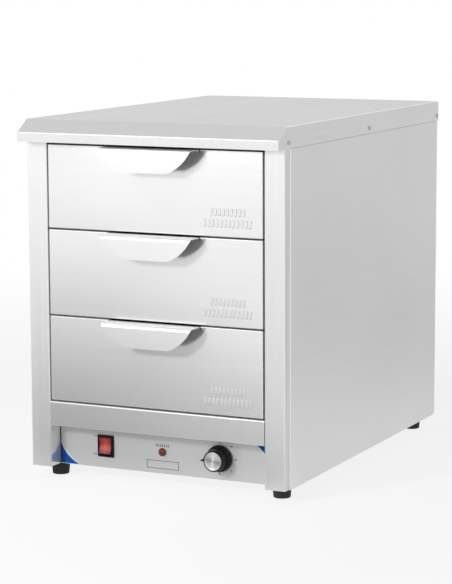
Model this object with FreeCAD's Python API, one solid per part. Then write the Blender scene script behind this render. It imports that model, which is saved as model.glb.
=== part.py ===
"""Countertop warming drawer: a stainless steel cabinet with three heated drawers.

Units are millimetres.  The pieces are modelled with X to the right, Y from the front face of the posts
towards the rear and Z up from the lower edge of the casing.  On export every piece is moved by
ROW_SHIFT, so that the origin ends up on the worktop under the middle of the bounding box.
"""
import FreeCAD, Part
import math
import os

V = FreeCAD.Vector
X_AXIS = V(1, 0, 0)
Y_AXIS = V(0, 1, 0)
Z_AXIS = V(0, 0, 1)
ORIGIN = V(0, 0, 0)

# ---- driving dimensions: sheet metal ------------------------------------------------------------
SHEET = 1.2               # outer casing sheet
LINER = 0.8               # sheet of the heated space
BEND = 2.0                # outer radius of the casing's folds
TIGHT_BEND = 1.2          # outer radius of the folds of fronts and side covers
TOUCH = 0.3               # gap left where a folded corner comes near another piece
PAST = 1.0                # how far a cutter runs past the material it cuts
DRILL_PLAY = 0.05         # a fastener's or pin's hole is this much larger in radius

# ---- driving dimensions: casing -----------------------------------------------------------------
WIDTH = 430.0             # across the front posts
DEPTH = 635.0             # front face of the posts to the rear panel
HEIGHT = 538.0            # lower edge of the casing to the flat top of the lid

POST_FACE = 33.5          # visible width of a front post
POST_SIDE = 45.0          # depth of a post's outer flange
REAR_FLANGE = 18.0        # depth of the rear panel's flanges
RECESS = 30.0             # how far the control panel stands behind the posts' front
CORNER_STRIP = 13.0       # bare strip of post or rear panel beside each side cover
COVER_DEPTH = 3.0         # how far a side cover stands proud of the posts' side
COVER_FLANGE_TOP = 532.0  # upper edge of a side cover's flange, inside the lid

LID_PLAY = 0.2            # clearance between the lid's flanges and the posts
NOSE_REACH = 28.0         # the lid's nose in front of the posts
NOSE_DROP = 18.5          # height of the sloped face of the nose
NOSE_LIP = 14.2           # height of the upright lip below the slope
NOSE_RETURN = 15.0        # hem under the lip

FASCIA_BOTTOM = 65.4
FASCIA_TOP = 103.5
RAIL_DEPTH = 30.0         # depth of the front rails and of the posts' returns

LID_SCREW = {"head_radius": 3.4, "head_height": 1.8, "shank_radius": 1.75, "shank_length": 6.4}
LID_SCREW_Y = (9.5, 321.0, 628.0)
LID_SCREW_DROP = 24.0     # lid top to the screws in its side flanges
REAR_SCREW = {"head_radius": 3.6, "head_height": 2.0, "shank_radius": 1.9, "shank_length": 6.0}
REAR_SCREW_INSET = 10.0   # from the casing's side to the rear panel's screws
REAR_SCREW_Z = (30.0, 190.0, 345.0, 490.0)

VENT_COLUMNS = 7          # cooling slots in the rear panel
VENT_ROWS = 3
VENT_START = V(-4.0, 0, 20.0)
VENT_PITCH_X = 22.0
VENT_PITCH_Z = 12.0
VENT_LENGTH = 18.0
VENT_HEIGHT = 3.6

PAN_HEIGHT = 14.0         # height of the base pan's upstands
PAN_SLOT_X = (-110.0, -55.0, 0.0, 55.0, 110.0)
PAN_SLOT_Y = (250.0, 275.0, 300.0, 325.0, 350.0)
PAN_SLOT_LENGTH = 36.0
PAN_SLOT_WIDTH = 4.0

FOOT_HEIGHT = 20.0
FOOT_X = 190.0
FOOT_Y = (45.0, 590.0)
FOOT_TOP_RADIUS = 15.0
FOOT_LOW_RADIUS = 13.0
FOOT_EDGE = 1.5
STUD_RADIUS = 3.0
STUD_BELOW = 14.0         # length of a foot's stud below the casing
STUD_ABOVE = 10.0
STUD_NUT_FLATS = 10.0
STUD_NUT_HEIGHT = 5.0

# ---- driving dimensions: drawers ----------------------------------------------------------------
DRAWERS = ("bottom", "middle", "top")
DRAWER_PITCH = 133.4
FIRST_GAP = 105.0         # height of the middle of the gap under the bottom drawer
DRAWER_GAP = 2.5          # gap between one front and the next
LID_GAP = 4.7             # gap between the lid's lip and the top front
SIDE_GAP = 2.5            # gap between a front and the post
FRONT_DEPTH = 18.0        # depth of the folded front

HANDLE_HALF = 76.5        # half the width of the handle flap
HANDLE_FLAT = 37.0        # half the straight part of its lower edge
HANDLE_DROP = 35.0        # height of the flap
HANDLE_REACH = 30.0       # how far the flap stands in front of the drawer
HANDLE_BULGE = 5.4        # how far the rounded corner bows out from its chord
HANDLE_BENDS = (2.5, 5.5)
HANDLE_RELIEF = 1.0       # notch in the front beside the flap
HANDLE_ROOT = 14.0        # height of sheet that the flap is joined to

BOX_HALF = 170.0          # half the outside width of a drawer's box
BOX_BACK = 590.0
BOX_RAISE = 10.0          # lower edge of the front to the underside of the box
BOX_DROP = 20.0           # upper edge of the front to the rim of the box
BOX_SHEET = 1.0
RIM = 2.4                 # width of the folded rim
BOX_SLOT_X = (-110.0, 0.0, 110.0)
BOX_SLOT_Y = (120.0, 210.0, 300.0, 390.0, 480.0)
BOX_SLOT_LENGTH = 44.0
BOX_SLOT_WIDTH = 5.0

# ---- driving dimensions: telescopic slides ------------------------------------------------------
WALL_HALF = 182.6         # half the inside width of the heated space
SLIDE_START = 32.0
SLIDE_LENGTH = 550.0
SLIDE_RAISE = 50.0        # underside of the box to the centre of its slides
SLIDE_SHEET = 1.2
SLIDE_HALF = 18.0         # half the height of the outer member
SLIDE_PLAY = 0.4          # running clearance between members

# ---- driving dimensions: heated space -----------------------------------------------------------
DECK_TOP = 74.0           # chassis deck under the heating element
FLOOR_TOP = 103.8
FLOOR_FLANGE = 12.0
FLOOR_BEND = 1.6
FLOOR_COLUMNS = 7
FLOOR_ROWS = 9
FLOOR_HOLE = 6.0          # radius of the holes in the cavity floor
ROOF_BOTTOM = 512.0
ROOF_INSET = 6.2          # from the casing's side to the edge of the inner roof
BACK_FACE = 611.0
INSULATION_SIDE = 23.0
INSULATION_FRONT = 47.0   # where the side slabs start, behind the posts
INSULATION_TOP_FRONT = 40.0

ELEMENT_RADIUS = 4.0
ELEMENT_BEND = 12.0
ELEMENT_END = 120.0       # half the distance between the element's terminals
ELEMENT_FRONT = 90.0
ELEMENT_BACK = 540.0
ELEMENT_Z = 87.0
ELEMENT_INNER = 40.0      # half the width of the inner hairpin
ELEMENT_STEP = 40.0       # the inner hairpin ends this far behind the terminals
ELEMENT_TAIL = 60.0       # height of the lower ends of the element's cold tails
ELEMENT_PASS = 5.0        # radius of the holes for them in the deck
SADDLE_INSET = 70.0       # from the ends of the element to its saddles
SADDLE_HALF_WIDTH = 8.0
SADDLE_HALF_DEPTH = 5.0
SADDLE_ABOVE = 1.0        # top of a saddle above the middle of the element

BULB = V(20.0, 200.0, 77.2)
BULB_RADIUS = 3.0
BULB_LENGTH = 90.0
BULB_OFFSET = 10.0        # where the capillary turns down, to the start of the bulb
BULB_PASS = 4.0
CAPILLARY_RADIUS = 1.0
CAPILLARY_BEND = 3.0
CAPILLARY_Z = 45.0
CAPILLARY_Y = 100.0
CAPILLARY_END = 55.0

CUT_OUT = V(-60.0, 330.0, 72.8)
CUT_OUT_CAN = (8.5, 5.0)  # radius and height
CUT_OUT_BODY = (7.5, 6.0)
CUT_OUT_TAB_X = 5.0

# ---- driving dimensions: controls ---------------------------------------------------------------
SWITCH = V(-100.75, 0, 34.25)
BEZEL_HALF = (13.75, 17.25)
BEZEL_REACH = 3.0         # bezel in front of the panel
BEZEL_EDGE = 1.2
SWITCH_CUT_HALF = (12.5, 16.0)
SWITCH_BODY_HALF = (12.4, 15.9)
SWITCH_WELL_HALF = (10.5, 14.7)
SWITCH_DEPTH = 20.0       # body behind the panel's front
SWITCH_WELL_END = 4.0     # thickness of the body's rear wall
PIVOT_DEPTH = 3.0         # rocker's pivot behind the panel's front
PIVOT_RADIUS = 1.5
PIVOT_HALF = 11.4
SOCKET_HALF = 11.7
ROCKER_HALF_WIDTH = 10.0
ROCKER_RADIUS = 14.4      # round ends of the rocker about its pivot
ROCKER_TIP_Z = 12.0
ROCKER_DISH = 2.6         # how much lower the middle of the rocker's face is than its tips
ROCKER_BACK = 3.0         # flat back of the rocker behind the pivot
ROCKER_TILT = 6.0         # degrees either side of level
SWITCH_TAB_X = (-6.0, 6.0)
SWITCH_TAB_Z = (-8.0, 8.0)

LAMP = V(-2.9, 0, 33.5)
LENS_FLANGE_RADIUS = 6.4
LENS_FLANGE = 1.4
LENS_DOME_RADIUS = 5.4
LENS_DOME_HEIGHT = 2.6
LAMP_NECK_RADIUS = 4.9
LAMP_NECK = 4.0           # neck of the lens through the panel
LAMP_BARREL = 20.0
LAMP_NUT_RADIUS = 7.5
LAMP_NUT = 3.0
LAMP_TAB_X = (-2.5, 2.5)
LAMP_HOLE = 5.0

KNOB = V(94.0, 0, 33.0)
KNOB_FACE = 5.2           # front of the grip behind the posts' front
KNOB_CLEAR = 1.6          # gap between the skirt and the panel
KNOB_RIM = 15.2           # radius of the grip's front edge
KNOB_BEVEL = 1.0
GRIP_RADIUS = 17.2
SKIRT_HEIGHT = 7.5
SKIRT_SLOPE = 2.0
SKIRT_SHOULDER = 19.6     # radius at the foot of the skirt's slope
SKIRT_EDGE = 2.0
SKIRT_RADIUS = 20.8
CAP_RADIUS = 14.0
CAP_PLAY = 0.1
CAP_THICKNESS = 0.8       # depth of the recess for the metal cap
CAP_PROUD = 0.3
CAP_RING = (11.0, 12.2, 13.6)
CAP_RING_PROUD = 0.7
GRIP_FLUTES = 24
FLUTE_RADIUS = 1.3
FLUTE_CENTRE = 17.6
POINTER_HALF = 1.1
POINTER_FROM = 15.0
POINTER_TO = 20.4
POINTER_SUNK = 0.6        # pointer's front behind the knob's face
POINTER_END = 4.0
SHAFT_RADIUS = 3.0
SHAFT_TIP = 9.0
SHAFT_FLAT = 1.5          # height of the flat above the shaft's middle
SHAFT_FLAT_LENGTH = 11.0
SHAFT_ROOM = 8.0          # depth of the bore in the thermostat
BUSH_RADIUS = 5.2
PANEL_BUSH_HOLE = 5.5
THERMOSTAT_PLATE_HALF = (17.0, 14.0)
THERMOSTAT_PLATE = 1.5
THERMOSTAT_BLOCK_HALF = (15.0, 14.0)
THERMOSTAT_DEPTH = 22.0
THERMOSTAT_TAB_X = (-9.0, 0.0, 9.0)
THERMOSTAT_TAB_Z = -8.0

# ---- driving dimensions: electrics --------------------------------------------------------------
TAB_HALF_THICKNESS = 0.4  # push-on terminals
TAB_HALF_WIDTH = 3.1
TAB_LENGTH = 8.0
SMALL_TAB_HALF_WIDTH = 1.5

GLAND = V(-150.0, 0, 36.0)
GLAND_BORE = 4.2
GLAND_THREAD = 7.9
GLAND_HOLE = 8.0
GLAND_REACH = 16.0
GLAND_DOME = ((10.5, 9.0), (8.8, 13.0), (7.0, GLAND_REACH))
GLAND_NUT_FLATS = 24.0
GLAND_NUT = 6.0
LOCKNUT_FLATS = 22.0
LOCKNUT = 5.0
GLAND_INSIDE = 8.0        # length of thread inside the rear panel

TERMINAL_Y = 560.0
TERMINAL_SIZE = (36.0, 18.0, 16.0)
TERMINAL_WAYS = (-11.0, 0.0, 11.0)
WAY_RADIUS = 2.2
WAY_HEIGHT = 7.0
WAY_SCREW_RADIUS = 2.0

WIRE_RADIUS = 1.3
WIRE_BEND = 8.0
WIRE_GAP = 0.5            # from the end of a wire to the terminal it serves
WIRE_LOW = 8.0            # height of a wire that lies near the base pan
WIRE_TURN_Y = 110.0
WIRE_DIP_X = 20.0
LIVE_TURN_Y = 140.0
LOAD_TURN_Y = 80.0
NEUTRAL_TURN_Y = 260.0
NEUTRAL_RISE_Y = 180.0
NEUTRAL_Z = 30.0

# ---- values that follow from them ---------------------------------------------------------------
HALF = WIDTH / 2
LID_UNDER = HEIGHT - SHEET
LID_EDGE = HEIGHT - NOSE_DROP - NOSE_LIP
LID_HALF = HALF + SHEET + LID_PLAY
COVER_TOP = LID_EDGE - TOUCH
POST_TOP = LID_UNDER - TOUCH
OPENING_HALF = HALF - POST_FACE
PANEL_BACK = RECESS + SHEET
REAR_INSIDE = DEPTH - SHEET
FRONT_HALF = OPENING_HALF - SIDE_GAP
SWITCH_BACK = RECESS + SWITCH_DEPTH
PIVOT_Y = RECESS + PIVOT_DEPTH
KNOB_BACK = RECESS - KNOB_CLEAR
SHAFT_END = PANEL_BACK + SHAFT_ROOM
ROW_SHIFT = V(0, -(DEPTH + GLAND_REACH - HANDLE_REACH) / 2, FOOT_HEIGHT)


# ---- helpers ------------------------------------------------------------------------------------
def box(x0, x1, y0, y1, z0, z1):
    """A block between two corners."""
    return Part.makeBox(x1 - x0, y1 - y0, z1 - z0, V(x0, y0, z0))


def block(centre, half, y0, y1):
    """A block about a point of the front view, between two depths."""
    half_x, half_z = half
    return box(centre.x - half_x, centre.x + half_x, y0, y1, centre.z - half_z, centre.z + half_z)


def rod(radius, start, axis, length):
    """A round bar from a point along an axis."""
    return Part.makeCylinder(radius, length, start, axis)


def disc(radius, centre, y0, y1):
    """A round bar about a point of the front view, between two depths."""
    return rod(radius, V(centre.x, y0, centre.z), Y_AXIS, y1 - y0)


def fuse(shapes):
    """One solid out of shapes that meet."""
    return shapes[0].fuse(shapes[1:]).removeSplitter()


def cut(shape, tools):
    """The shape without the tools, as one solid."""
    result = shape.cut(tools)
    return result.Solids[0] if len(result.Solids) == 1 else result


def mirrored(shape):
    """The same piece on the other side of the cabinet."""
    return shape.mirror(ORIGIN, X_AXIS)


def side_pair(shape):
    """The piece on the right with its mirror image on the left."""
    return {"right": shape, "left": mirrored(shape)}


def group(solids):
    """Pieces that share a node."""
    return Part.makeCompound(solids)


def rounded_corner(before, corner, after, radius):
    """Start, middle and end of the arc that rounds a corner."""
    inward = (corner - before).normalize()
    outward = (after - corner).normalize()
    half_turn = inward.getAngle(outward) / 2
    setback = radius * math.tan(half_turn)
    to_centre = (outward - inward).normalize()
    centre = corner + to_centre * (radius / math.cos(half_turn))
    return corner - inward * setback, centre - to_centre * radius, corner + outward * setback


def rounded_path(points, radii):
    """Straight runs between the points, joined by tangent arcs."""
    edges, here = [], points[0]
    for before, corner, after, radius in zip(points, points[1:], points[2:], radii):
        arc_start, arc_middle, arc_end = rounded_corner(before, corner, after, radius)
        edges.append(Part.LineSegment(here, arc_start).toShape())
        edges.append(Part.Arc(arc_start, arc_middle, arc_end).toShape())
        here = arc_end
    edges.append(Part.LineSegment(here, points[-1]).toShape())
    return Part.Wire(edges)


def fold(path, thickness, bends, start, length, along):
    """A bent sheet: an open outline rounded at each corner, with its thickness on the right of the path.

    The outline is in (Y, Z) for a piece along X, in (X, Z) along Y and in (X, Y) along Z.
    """
    points = [V(a, b, 0) for a, b in path]
    radii = bends if isinstance(bends, tuple) else (bends,) * (len(points) - 2)
    profile = rounded_path(points, radii).makeOffset2D(thickness, 2, True, True, False)
    sheet = profile.extrude(V(0, 0, length))
    sheet.Placement = {"X": FreeCAD.Placement(V(start, 0, 0), FreeCAD.Rotation(V(1, 1, 1), 120)),
                       "Y": FreeCAD.Placement(V(0, start + length, 0), FreeCAD.Rotation(X_AXIS, 90)),
                       "Z": FreeCAD.Placement(V(0, 0, start), FreeCAD.Rotation())}[along]
    return sheet


def tube(points, radius, bend):
    """A round tube or wire along straight runs joined by tangent arcs."""
    path = rounded_path(points, (bend,) * (len(points) - 2))
    ring = Part.Wire([Part.makeCircle(radius, points[0], points[1] - points[0])])
    return path.makePipeShell([ring], True, False)


def turned(profile, centre):
    """A round piece about a line along Y: the profile gives radius and Y."""
    corners = [V(centre.x + radius, y, centre.z) for radius, y in profile]
    face = Part.Face(Part.makePolygon(corners + corners[:1]))
    return face.revolve(centre, Y_AXIS, 360)


def hexagon(across_flats, start, axis, length):
    """A hexagonal bar, such as a nut."""
    corner = across_flats / math.sqrt(3)
    points = [V(corner * math.cos(math.radians(60 * k)), corner * math.sin(math.radians(60 * k)), 0)
              for k in range(7)]
    bar = Part.Face(Part.makePolygon(points)).extrude(V(0, 0, length))
    bar.Placement = FreeCAD.Placement(start, FreeCAD.Rotation(Z_AXIS, axis))
    return bar


def pan_head_screw(size, seat, outward):
    """A screw whose head, with its round drive recess, sits on a face at seat and points outward."""
    head = rod(size["head_radius"], seat, outward, size["head_height"])
    rim = [edge for edge in head.Edges
           if edge.Length > size["head_radius"] * 6
           and edge.CenterOfMass.distanceToPoint(seat) > size["head_height"] / 2]
    head = head.makeFillet(size["head_height"] * 0.6, rim[:1])
    recess_start = seat + outward * (size["head_height"] * 0.55)
    recess = rod(size["head_radius"] * 0.22, recess_start, outward, size["head_height"])
    shank_start = seat - outward * size["shank_length"]
    shank = rod(size["shank_radius"], shank_start, outward, size["shank_length"])
    return head.cut(recess).fuse(shank)


def tab(centre, x, z, y0, half_width=TAB_HALF_WIDTH, length=TAB_LENGTH):
    """A flat push-on terminal that points to the rear."""
    place = V(centre.x + x, 0, centre.z + z)
    return block(place, (TAB_HALF_THICKNESS, half_width), y0, y0 + length)


def export(node, shape):
    """Write one piece as a STEP file in the row's frame."""
    placed = shape.copy()
    placed.translate(ROW_SHIFT)
    placed.exportStep(f"parts/{node}.step")
    sound = all(solid.isValid() for solid in placed.Solids)
    state = "valid" if sound else "INVALID"
    print(f"{node}: {len(placed.Solids)} solid(s), {placed.Volume / 1000:.1f} cm3, {state}")


# ---- casing -------------------------------------------------------------------------------------
def lid_screw_seats():
    """Where the heads of the lid's screws sit on the right side flange."""
    return [V(LID_HALF, y, HEIGHT - LID_SCREW_DROP) for y in LID_SCREW_Y]


def lid_screw_holes():
    """Drills for the lid's screws on both sides."""
    radius = LID_SCREW["shank_radius"] + DRILL_PLAY
    drills = [rod(radius, seat + X_AXIS * SHEET, X_AXIS * -1, 2 * LID_SCREW["shank_length"])
              for seat in lid_screw_seats()]
    return drills + [mirrored(drill) for drill in drills]


def lid_screws():
    screws = [pan_head_screw(LID_SCREW, seat, X_AXIS) for seat in lid_screw_seats()]
    return group(screws + [mirrored(screw) for screw in screws])


def nose_outline(inset):
    """Side view of the lid as (Y, Z) corners, moved in by the sheet when inset is given."""
    slope = math.atan2(NOSE_DROP, NOSE_REACH)
    top_crease = inset * math.tan(slope / 2)
    lip_crease = inset * math.tan((math.pi / 2 - slope) / 2)
    return [(-NOSE_REACH + inset, LID_EDGE),
            (-NOSE_REACH + inset, HEIGHT - NOSE_DROP - lip_crease),
            (top_crease, HEIGHT - inset),
            (DEPTH + SHEET - inset, HEIGHT - inset),
            (DEPTH + SHEET - inset, LID_EDGE)]


def nose_prism(half_width, inset):
    """The lid's side view as a solid across the cabinet."""
    corners = [V(-half_width, y, z) for y, z in nose_outline(inset)]
    return Part.Face(Part.makePolygon(corners + corners[:1])).extrude(V(2 * half_width, 0, 0))


def lid():
    """Folded top cover: flat top, sloped nose with an upright lip, side and rear flanges, open below."""
    outer = nose_prism(LID_HALF, 0)
    folds = [edge for edge in outer.Edges if edge.BoundBox.ZMax > LID_EDGE + TOUCH]
    outer = outer.makeFillet(BEND, folds)
    shell = outer.cut(nose_prism(LID_HALF - SHEET, SHEET))
    hem = box(-LID_HALF + SHEET, LID_HALF - SHEET, -NOSE_REACH + SHEET, -NOSE_REACH + NOSE_RETURN,
              LID_EDGE, LID_EDGE + SHEET)
    return cut(fuse([shell, hem]), lid_screw_holes())


def side_cover():
    """Right side cover: a shallow tray proud of the posts, with a flange that goes up inside the lid."""
    front, rear = CORNER_STRIP, DEPTH - CORNER_STRIP
    outer = box(HALF, HALF + COVER_DEPTH, front, rear, 0, COVER_TOP)
    outside_edges = [edge for edge in outer.Edges
                     if edge.BoundBox.XMin > HALF + TOUCH and edge.BoundBox.ZLength > SHEET]
    outer = outer.makeFillet(TIGHT_BEND, outside_edges)
    hollow = box(HALF - SHEET, HALF + COVER_DEPTH - SHEET, front + SHEET, rear - SHEET,
                 SHEET, COVER_TOP - SHEET)
    flange = box(HALF - SHEET, HALF, POST_SIDE + TOUCH, DEPTH - REAR_FLANGE - TOUCH,
                 COVER_TOP - SHEET, COVER_FLANGE_TOP)
    return cut(fuse([cut(outer, [hollow]), flange]), lid_screw_holes())


def front_post():
    """Right front post: outer flange, front face and the return beside the drawers."""
    path = [(HALF, POST_SIDE), (HALF, 0), (OPENING_HALF, 0), (OPENING_HALF, RAIL_DEPTH)]
    return cut(fold(path, SHEET, BEND, 0, POST_TOP, "Z"), lid_screw_holes())


def front_rail(bottom, top):
    """A channel across the front between the posts."""
    path = [(RAIL_DEPTH, bottom), (0, bottom), (0, top), (RAIL_DEPTH, top)]
    half = OPENING_HALF - TOUCH
    return fold(path, SHEET, BEND, -half, 2 * half, "X")


def control_panel():
    """Recessed panel with the openings for the switch, lamp and thermostat."""
    half = OPENING_HALF - TOUCH
    openings = [block(SWITCH, SWITCH_CUT_HALF, 0, 2 * RECESS),
                disc(LAMP_HOLE, LAMP, 0, 2 * RECESS),
                disc(PANEL_BUSH_HOLE, KNOB, 0, 2 * RECESS)]
    return cut(box(-half, half, RECESS, PANEL_BACK, 0, DECK_TOP - SHEET), openings)


def vent(x, z):
    """A cooling slot with round ends through the rear panel."""
    y0, y1 = REAR_INSIDE - PAST, DEPTH + PAST
    radius = VENT_HEIGHT / 2
    reach = VENT_LENGTH / 2 - radius
    middle = block(V(x, 0, z), (reach, radius), y0, y1)
    return fuse([middle] + [disc(radius, V(x + side * reach, 0, z), y0, y1) for side in (-1, 1)])


def rear_screw_seats():
    """Where the heads of the rear panel's screws sit."""
    reach = HALF - REAR_SCREW_INSET
    return [V(side * reach, DEPTH, z) for side in (-1, 1) for z in REAR_SCREW_Z]


def rear_panel():
    """Rear panel with side flanges, cooling slots for the control space and the cable entry."""
    path = [(-HALF, DEPTH - REAR_FLANGE), (-HALF, DEPTH), (HALF, DEPTH), (HALF, DEPTH - REAR_FLANGE)]
    wall = fold(path, SHEET, BEND, 0, LID_UNDER, "Z")
    vents = [vent(VENT_START.x + column * VENT_PITCH_X, VENT_START.z + row * VENT_PITCH_Z)
             for row in range(VENT_ROWS) for column in range(VENT_COLUMNS)]
    radius = REAR_SCREW["shank_radius"] + DRILL_PLAY
    drills = [disc(radius, seat, REAR_INSIDE - PAST, DEPTH + PAST) for seat in rear_screw_seats()]
    entry = disc(GLAND_HOLE, GLAND, REAR_INSIDE - PAST, DEPTH + PAST)
    return cut(wall, vents + drills + [entry] + lid_screw_holes())


def rear_screws():
    return group([pan_head_screw(REAR_SCREW, seat, Y_AXIS) for seat in rear_screw_seats()])


def foot_places():
    """Points on the casing's lower edge above the middle of each foot."""
    return [V(x, y, 0) for x in (-FOOT_X, FOOT_X) for y in FOOT_Y]


def base_pan():
    """Floor of the control space, folded up at the sides and rear, on which the feet are bolted."""
    half = HALF - SHEET
    tray = box(-half, half, PANEL_BACK, REAR_INSIDE, 0, PAN_HEIGHT)
    tray = tray.makeFillet(BEND, [edge for edge in tray.Edges if edge.BoundBox.ZLength > SHEET])
    hollow = box(-half + SHEET, half - SHEET, PANEL_BACK - SHEET, REAR_INSIDE - SHEET,
                 SHEET, PAN_HEIGHT + PAST)
    drills = [rod(STUD_RADIUS + DRILL_PLAY, place - Z_AXIS * PAST, Z_AXIS, SHEET + 2 * PAST)
              for place in foot_places()]
    slots = [box(x - PAN_SLOT_LENGTH / 2, x + PAN_SLOT_LENGTH / 2,
                 y - PAN_SLOT_WIDTH / 2, y + PAN_SLOT_WIDTH / 2, -PAST, SHEET + PAST)
             for x in PAN_SLOT_X for y in PAN_SLOT_Y]
    return cut(tray, [hollow] + drills + slots)


def rubber_feet():
    """Four moulded feet, each round a threaded stud."""
    feet = []
    for place in foot_places():
        worktop = place - Z_AXIS * FOOT_HEIGHT
        foot = Part.makeCone(FOOT_LOW_RADIUS, FOOT_TOP_RADIUS, FOOT_HEIGHT, worktop, Z_AXIS)
        lower_edge = [edge for edge in foot.Edges if edge.BoundBox.ZMax < worktop.z + TOUCH]
        socket = rod(STUD_RADIUS, place - Z_AXIS * STUD_BELOW, Z_AXIS, STUD_BELOW + PAST)
        feet.append(cut(foot.makeFillet(FOOT_EDGE, lower_edge), [socket]))
    return group(feet)


def foot_studs():
    """Studs of the feet, each with its nut on the base pan."""
    pieces = []
    for place in foot_places():
        stud = rod(STUD_RADIUS, place - Z_AXIS * STUD_BELOW, Z_AXIS, STUD_BELOW + STUD_ABOVE)
        nut = hexagon(STUD_NUT_FLATS, place + Z_AXIS * SHEET, Z_AXIS, STUD_NUT_HEIGHT)
        pieces.append(fuse([stud, nut]))
    return group(pieces)


# ---- heated space -------------------------------------------------------------------------------
def chassis_deck():
    """Bridge over the control space that carries the heating element and the inner walls."""
    half = HALF - 2 * SHEET - TOUCH
    path = [(-half, SHEET), (-half, DECK_TOP), (half, DECK_TOP), (half, SHEET)]
    front = PANEL_BACK + SHEET / 2
    rear = REAR_INSIDE - 1.5 * SHEET
    bridge = fold(path, SHEET, BEND, front, rear - front, "Y")
    passes = [rod(ELEMENT_PASS, V(x, ELEMENT_FRONT, 0), Z_AXIS, DECK_TOP + PAST)
              for x in (-ELEMENT_END, ELEMENT_END)]
    bulb_pass = rod(BULB_PASS, V(BULB.x, BULB.y, 0), Z_AXIS, DECK_TOP + PAST)
    post_room = COVER_DEPTH + SHEET
    notches = [box(side * HALF - post_room, side * HALF + post_room, 0, POST_SIDE, 0, DECK_TOP + PAST)
               for side in (-1, 1)]
    return cut(bridge, passes + notches + [bulb_pass])


def inner_wall():
    """Right wall of the heated space."""
    return box(WALL_HALF, WALL_HALF + LINER, PANEL_BACK, BACK_FACE, DECK_TOP, ROOF_BOTTOM)


def inner_back():
    return box(-WALL_HALF, WALL_HALF, BACK_FACE, BACK_FACE + LINER, DECK_TOP, ROOF_BOTTOM)


def inner_roof():
    half = HALF - ROOF_INSET
    return box(-half, half, PANEL_BACK, REAR_INSIDE, ROOF_BOTTOM, ROOF_BOTTOM + LINER)


def cavity_floor():
    """Perforated plate that spreads the heat under the bottom drawer, folded down at the sides."""
    path = [(-WALL_HALF, FLOOR_TOP - FLOOR_FLANGE), (-WALL_HALF, FLOOR_TOP), (WALL_HALF, FLOOR_TOP),
            (WALL_HALF, FLOOR_TOP - FLOOR_FLANGE)]
    length = BACK_FACE - PANEL_BACK
    plate = fold(path, LINER, FLOOR_BEND, PANEL_BACK, length, "Y")
    step_x = 2 * WALL_HALF / (FLOOR_COLUMNS + 1)
    step_y = length / (FLOOR_ROWS + 1)
    places = [V(-WALL_HALF + column * step_x, PANEL_BACK + row * step_y, FLOOR_TOP - LINER - PAST)
              for column in range(1, FLOOR_COLUMNS + 1) for row in range(1, FLOOR_ROWS + 1)]
    holes = [rod(FLOOR_HOLE, place, Z_AXIS, LINER + 2 * PAST) for place in places]
    return cut(plate, holes)


def insulation():
    """Mineral wool slabs round the heated space, by the place each fills."""
    inner = WALL_HALF + LINER
    side = box(inner, inner + INSULATION_SIDE, INSULATION_FRONT, BACK_FACE, DECK_TOP, ROOF_BOTTOM)
    top = box(-inner, inner, INSULATION_TOP_FRONT, BACK_FACE, ROOF_BOTTOM + LINER, LID_UNDER - PAST)
    back = box(-WALL_HALF, WALL_HALF, BACK_FACE + LINER, REAR_INSIDE, DECK_TOP, ROOF_BOTTOM)
    return {"right": side, "left": mirrored(side), "top": top, "back": back}


def heating_element():
    """Sheathed tube in a double hairpin, with its cold ends turned down through the deck."""
    ends, inner = ELEMENT_END, ELEMENT_INNER
    step = ELEMENT_FRONT + ELEMENT_STEP
    right = [V(inner, step, ELEMENT_Z), V(inner, ELEMENT_BACK, ELEMENT_Z), V(ends, ELEMENT_BACK, ELEMENT_Z),
             V(ends, ELEMENT_FRONT, ELEMENT_Z), V(ends, ELEMENT_FRONT, ELEMENT_TAIL)]
    left = [V(-point.x, point.y, point.z) for point in reversed(right)]
    return tube(left + right, ELEMENT_RADIUS, ELEMENT_BEND)


def element_saddles(element):
    """Four small stands that hold the element above the deck."""
    blocks = [box(x - SADDLE_HALF_WIDTH, x + SADDLE_HALF_WIDTH, y - SADDLE_HALF_DEPTH, y + SADDLE_HALF_DEPTH,
                  DECK_TOP, ELEMENT_Z + SADDLE_ABOVE)
              for x in (-ELEMENT_END, ELEMENT_END)
              for y in (ELEMENT_FRONT + SADDLE_INSET, ELEMENT_BACK - SADDLE_INSET)]
    return group([cut(block, [element]) for block in blocks])


def thermostat_bulb():
    """Sensing bulb lying on the deck and the capillary that runs down to the thermostat."""
    bulb = rod(BULB_RADIUS, BULB + Y_AXIS * BULB_OFFSET, Y_AXIS, BULB_LENGTH)
    route = [BULB + Y_AXIS * (BULB_OFFSET + PAST), BULB, V(BULB.x, BULB.y, CAPILLARY_Z),
             V(BULB.x, CAPILLARY_Y, CAPILLARY_Z), V(KNOB.x, CAPILLARY_Y, CAPILLARY_Z),
             V(KNOB.x, CAPILLARY_END, CAPILLARY_Z)]
    return fuse([bulb, tube(route, CAPILLARY_RADIUS, CAPILLARY_BEND)])


def cut_out():
    """Round over-temperature cut-out clamped under the deck, with its two tabs."""
    down = Z_AXIS * -1
    can_radius, can_height = CUT_OUT_CAN
    body_radius, body_height = CUT_OUT_BODY
    under_can = CUT_OUT + down * can_height
    under_body = under_can.z - body_height
    tabs = [box(CUT_OUT.x + side * CUT_OUT_TAB_X - TAB_HALF_THICKNESS,
                CUT_OUT.x + side * CUT_OUT_TAB_X + TAB_HALF_THICKNESS,
                CUT_OUT.y - TAB_HALF_WIDTH, CUT_OUT.y + TAB_HALF_WIDTH, under_body - TAB_LENGTH, under_body)
            for side in (-1, 1)]
    can = rod(can_radius, CUT_OUT, down, can_height)
    body = rod(body_radius, under_can, down, body_height)
    return fuse([can, body] + tabs)


# ---- drawers ------------------------------------------------------------------------------------
def drawer_bottom(level):
    return FIRST_GAP + level * DRAWER_PITCH + DRAWER_GAP / 2


def drawer_top(level):
    """Upper edge of a front; the top one stays clear of the lid's lip."""
    return min(FIRST_GAP + (level + 1) * DRAWER_PITCH - DRAWER_GAP / 2, LID_EDGE - LID_GAP)


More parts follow.
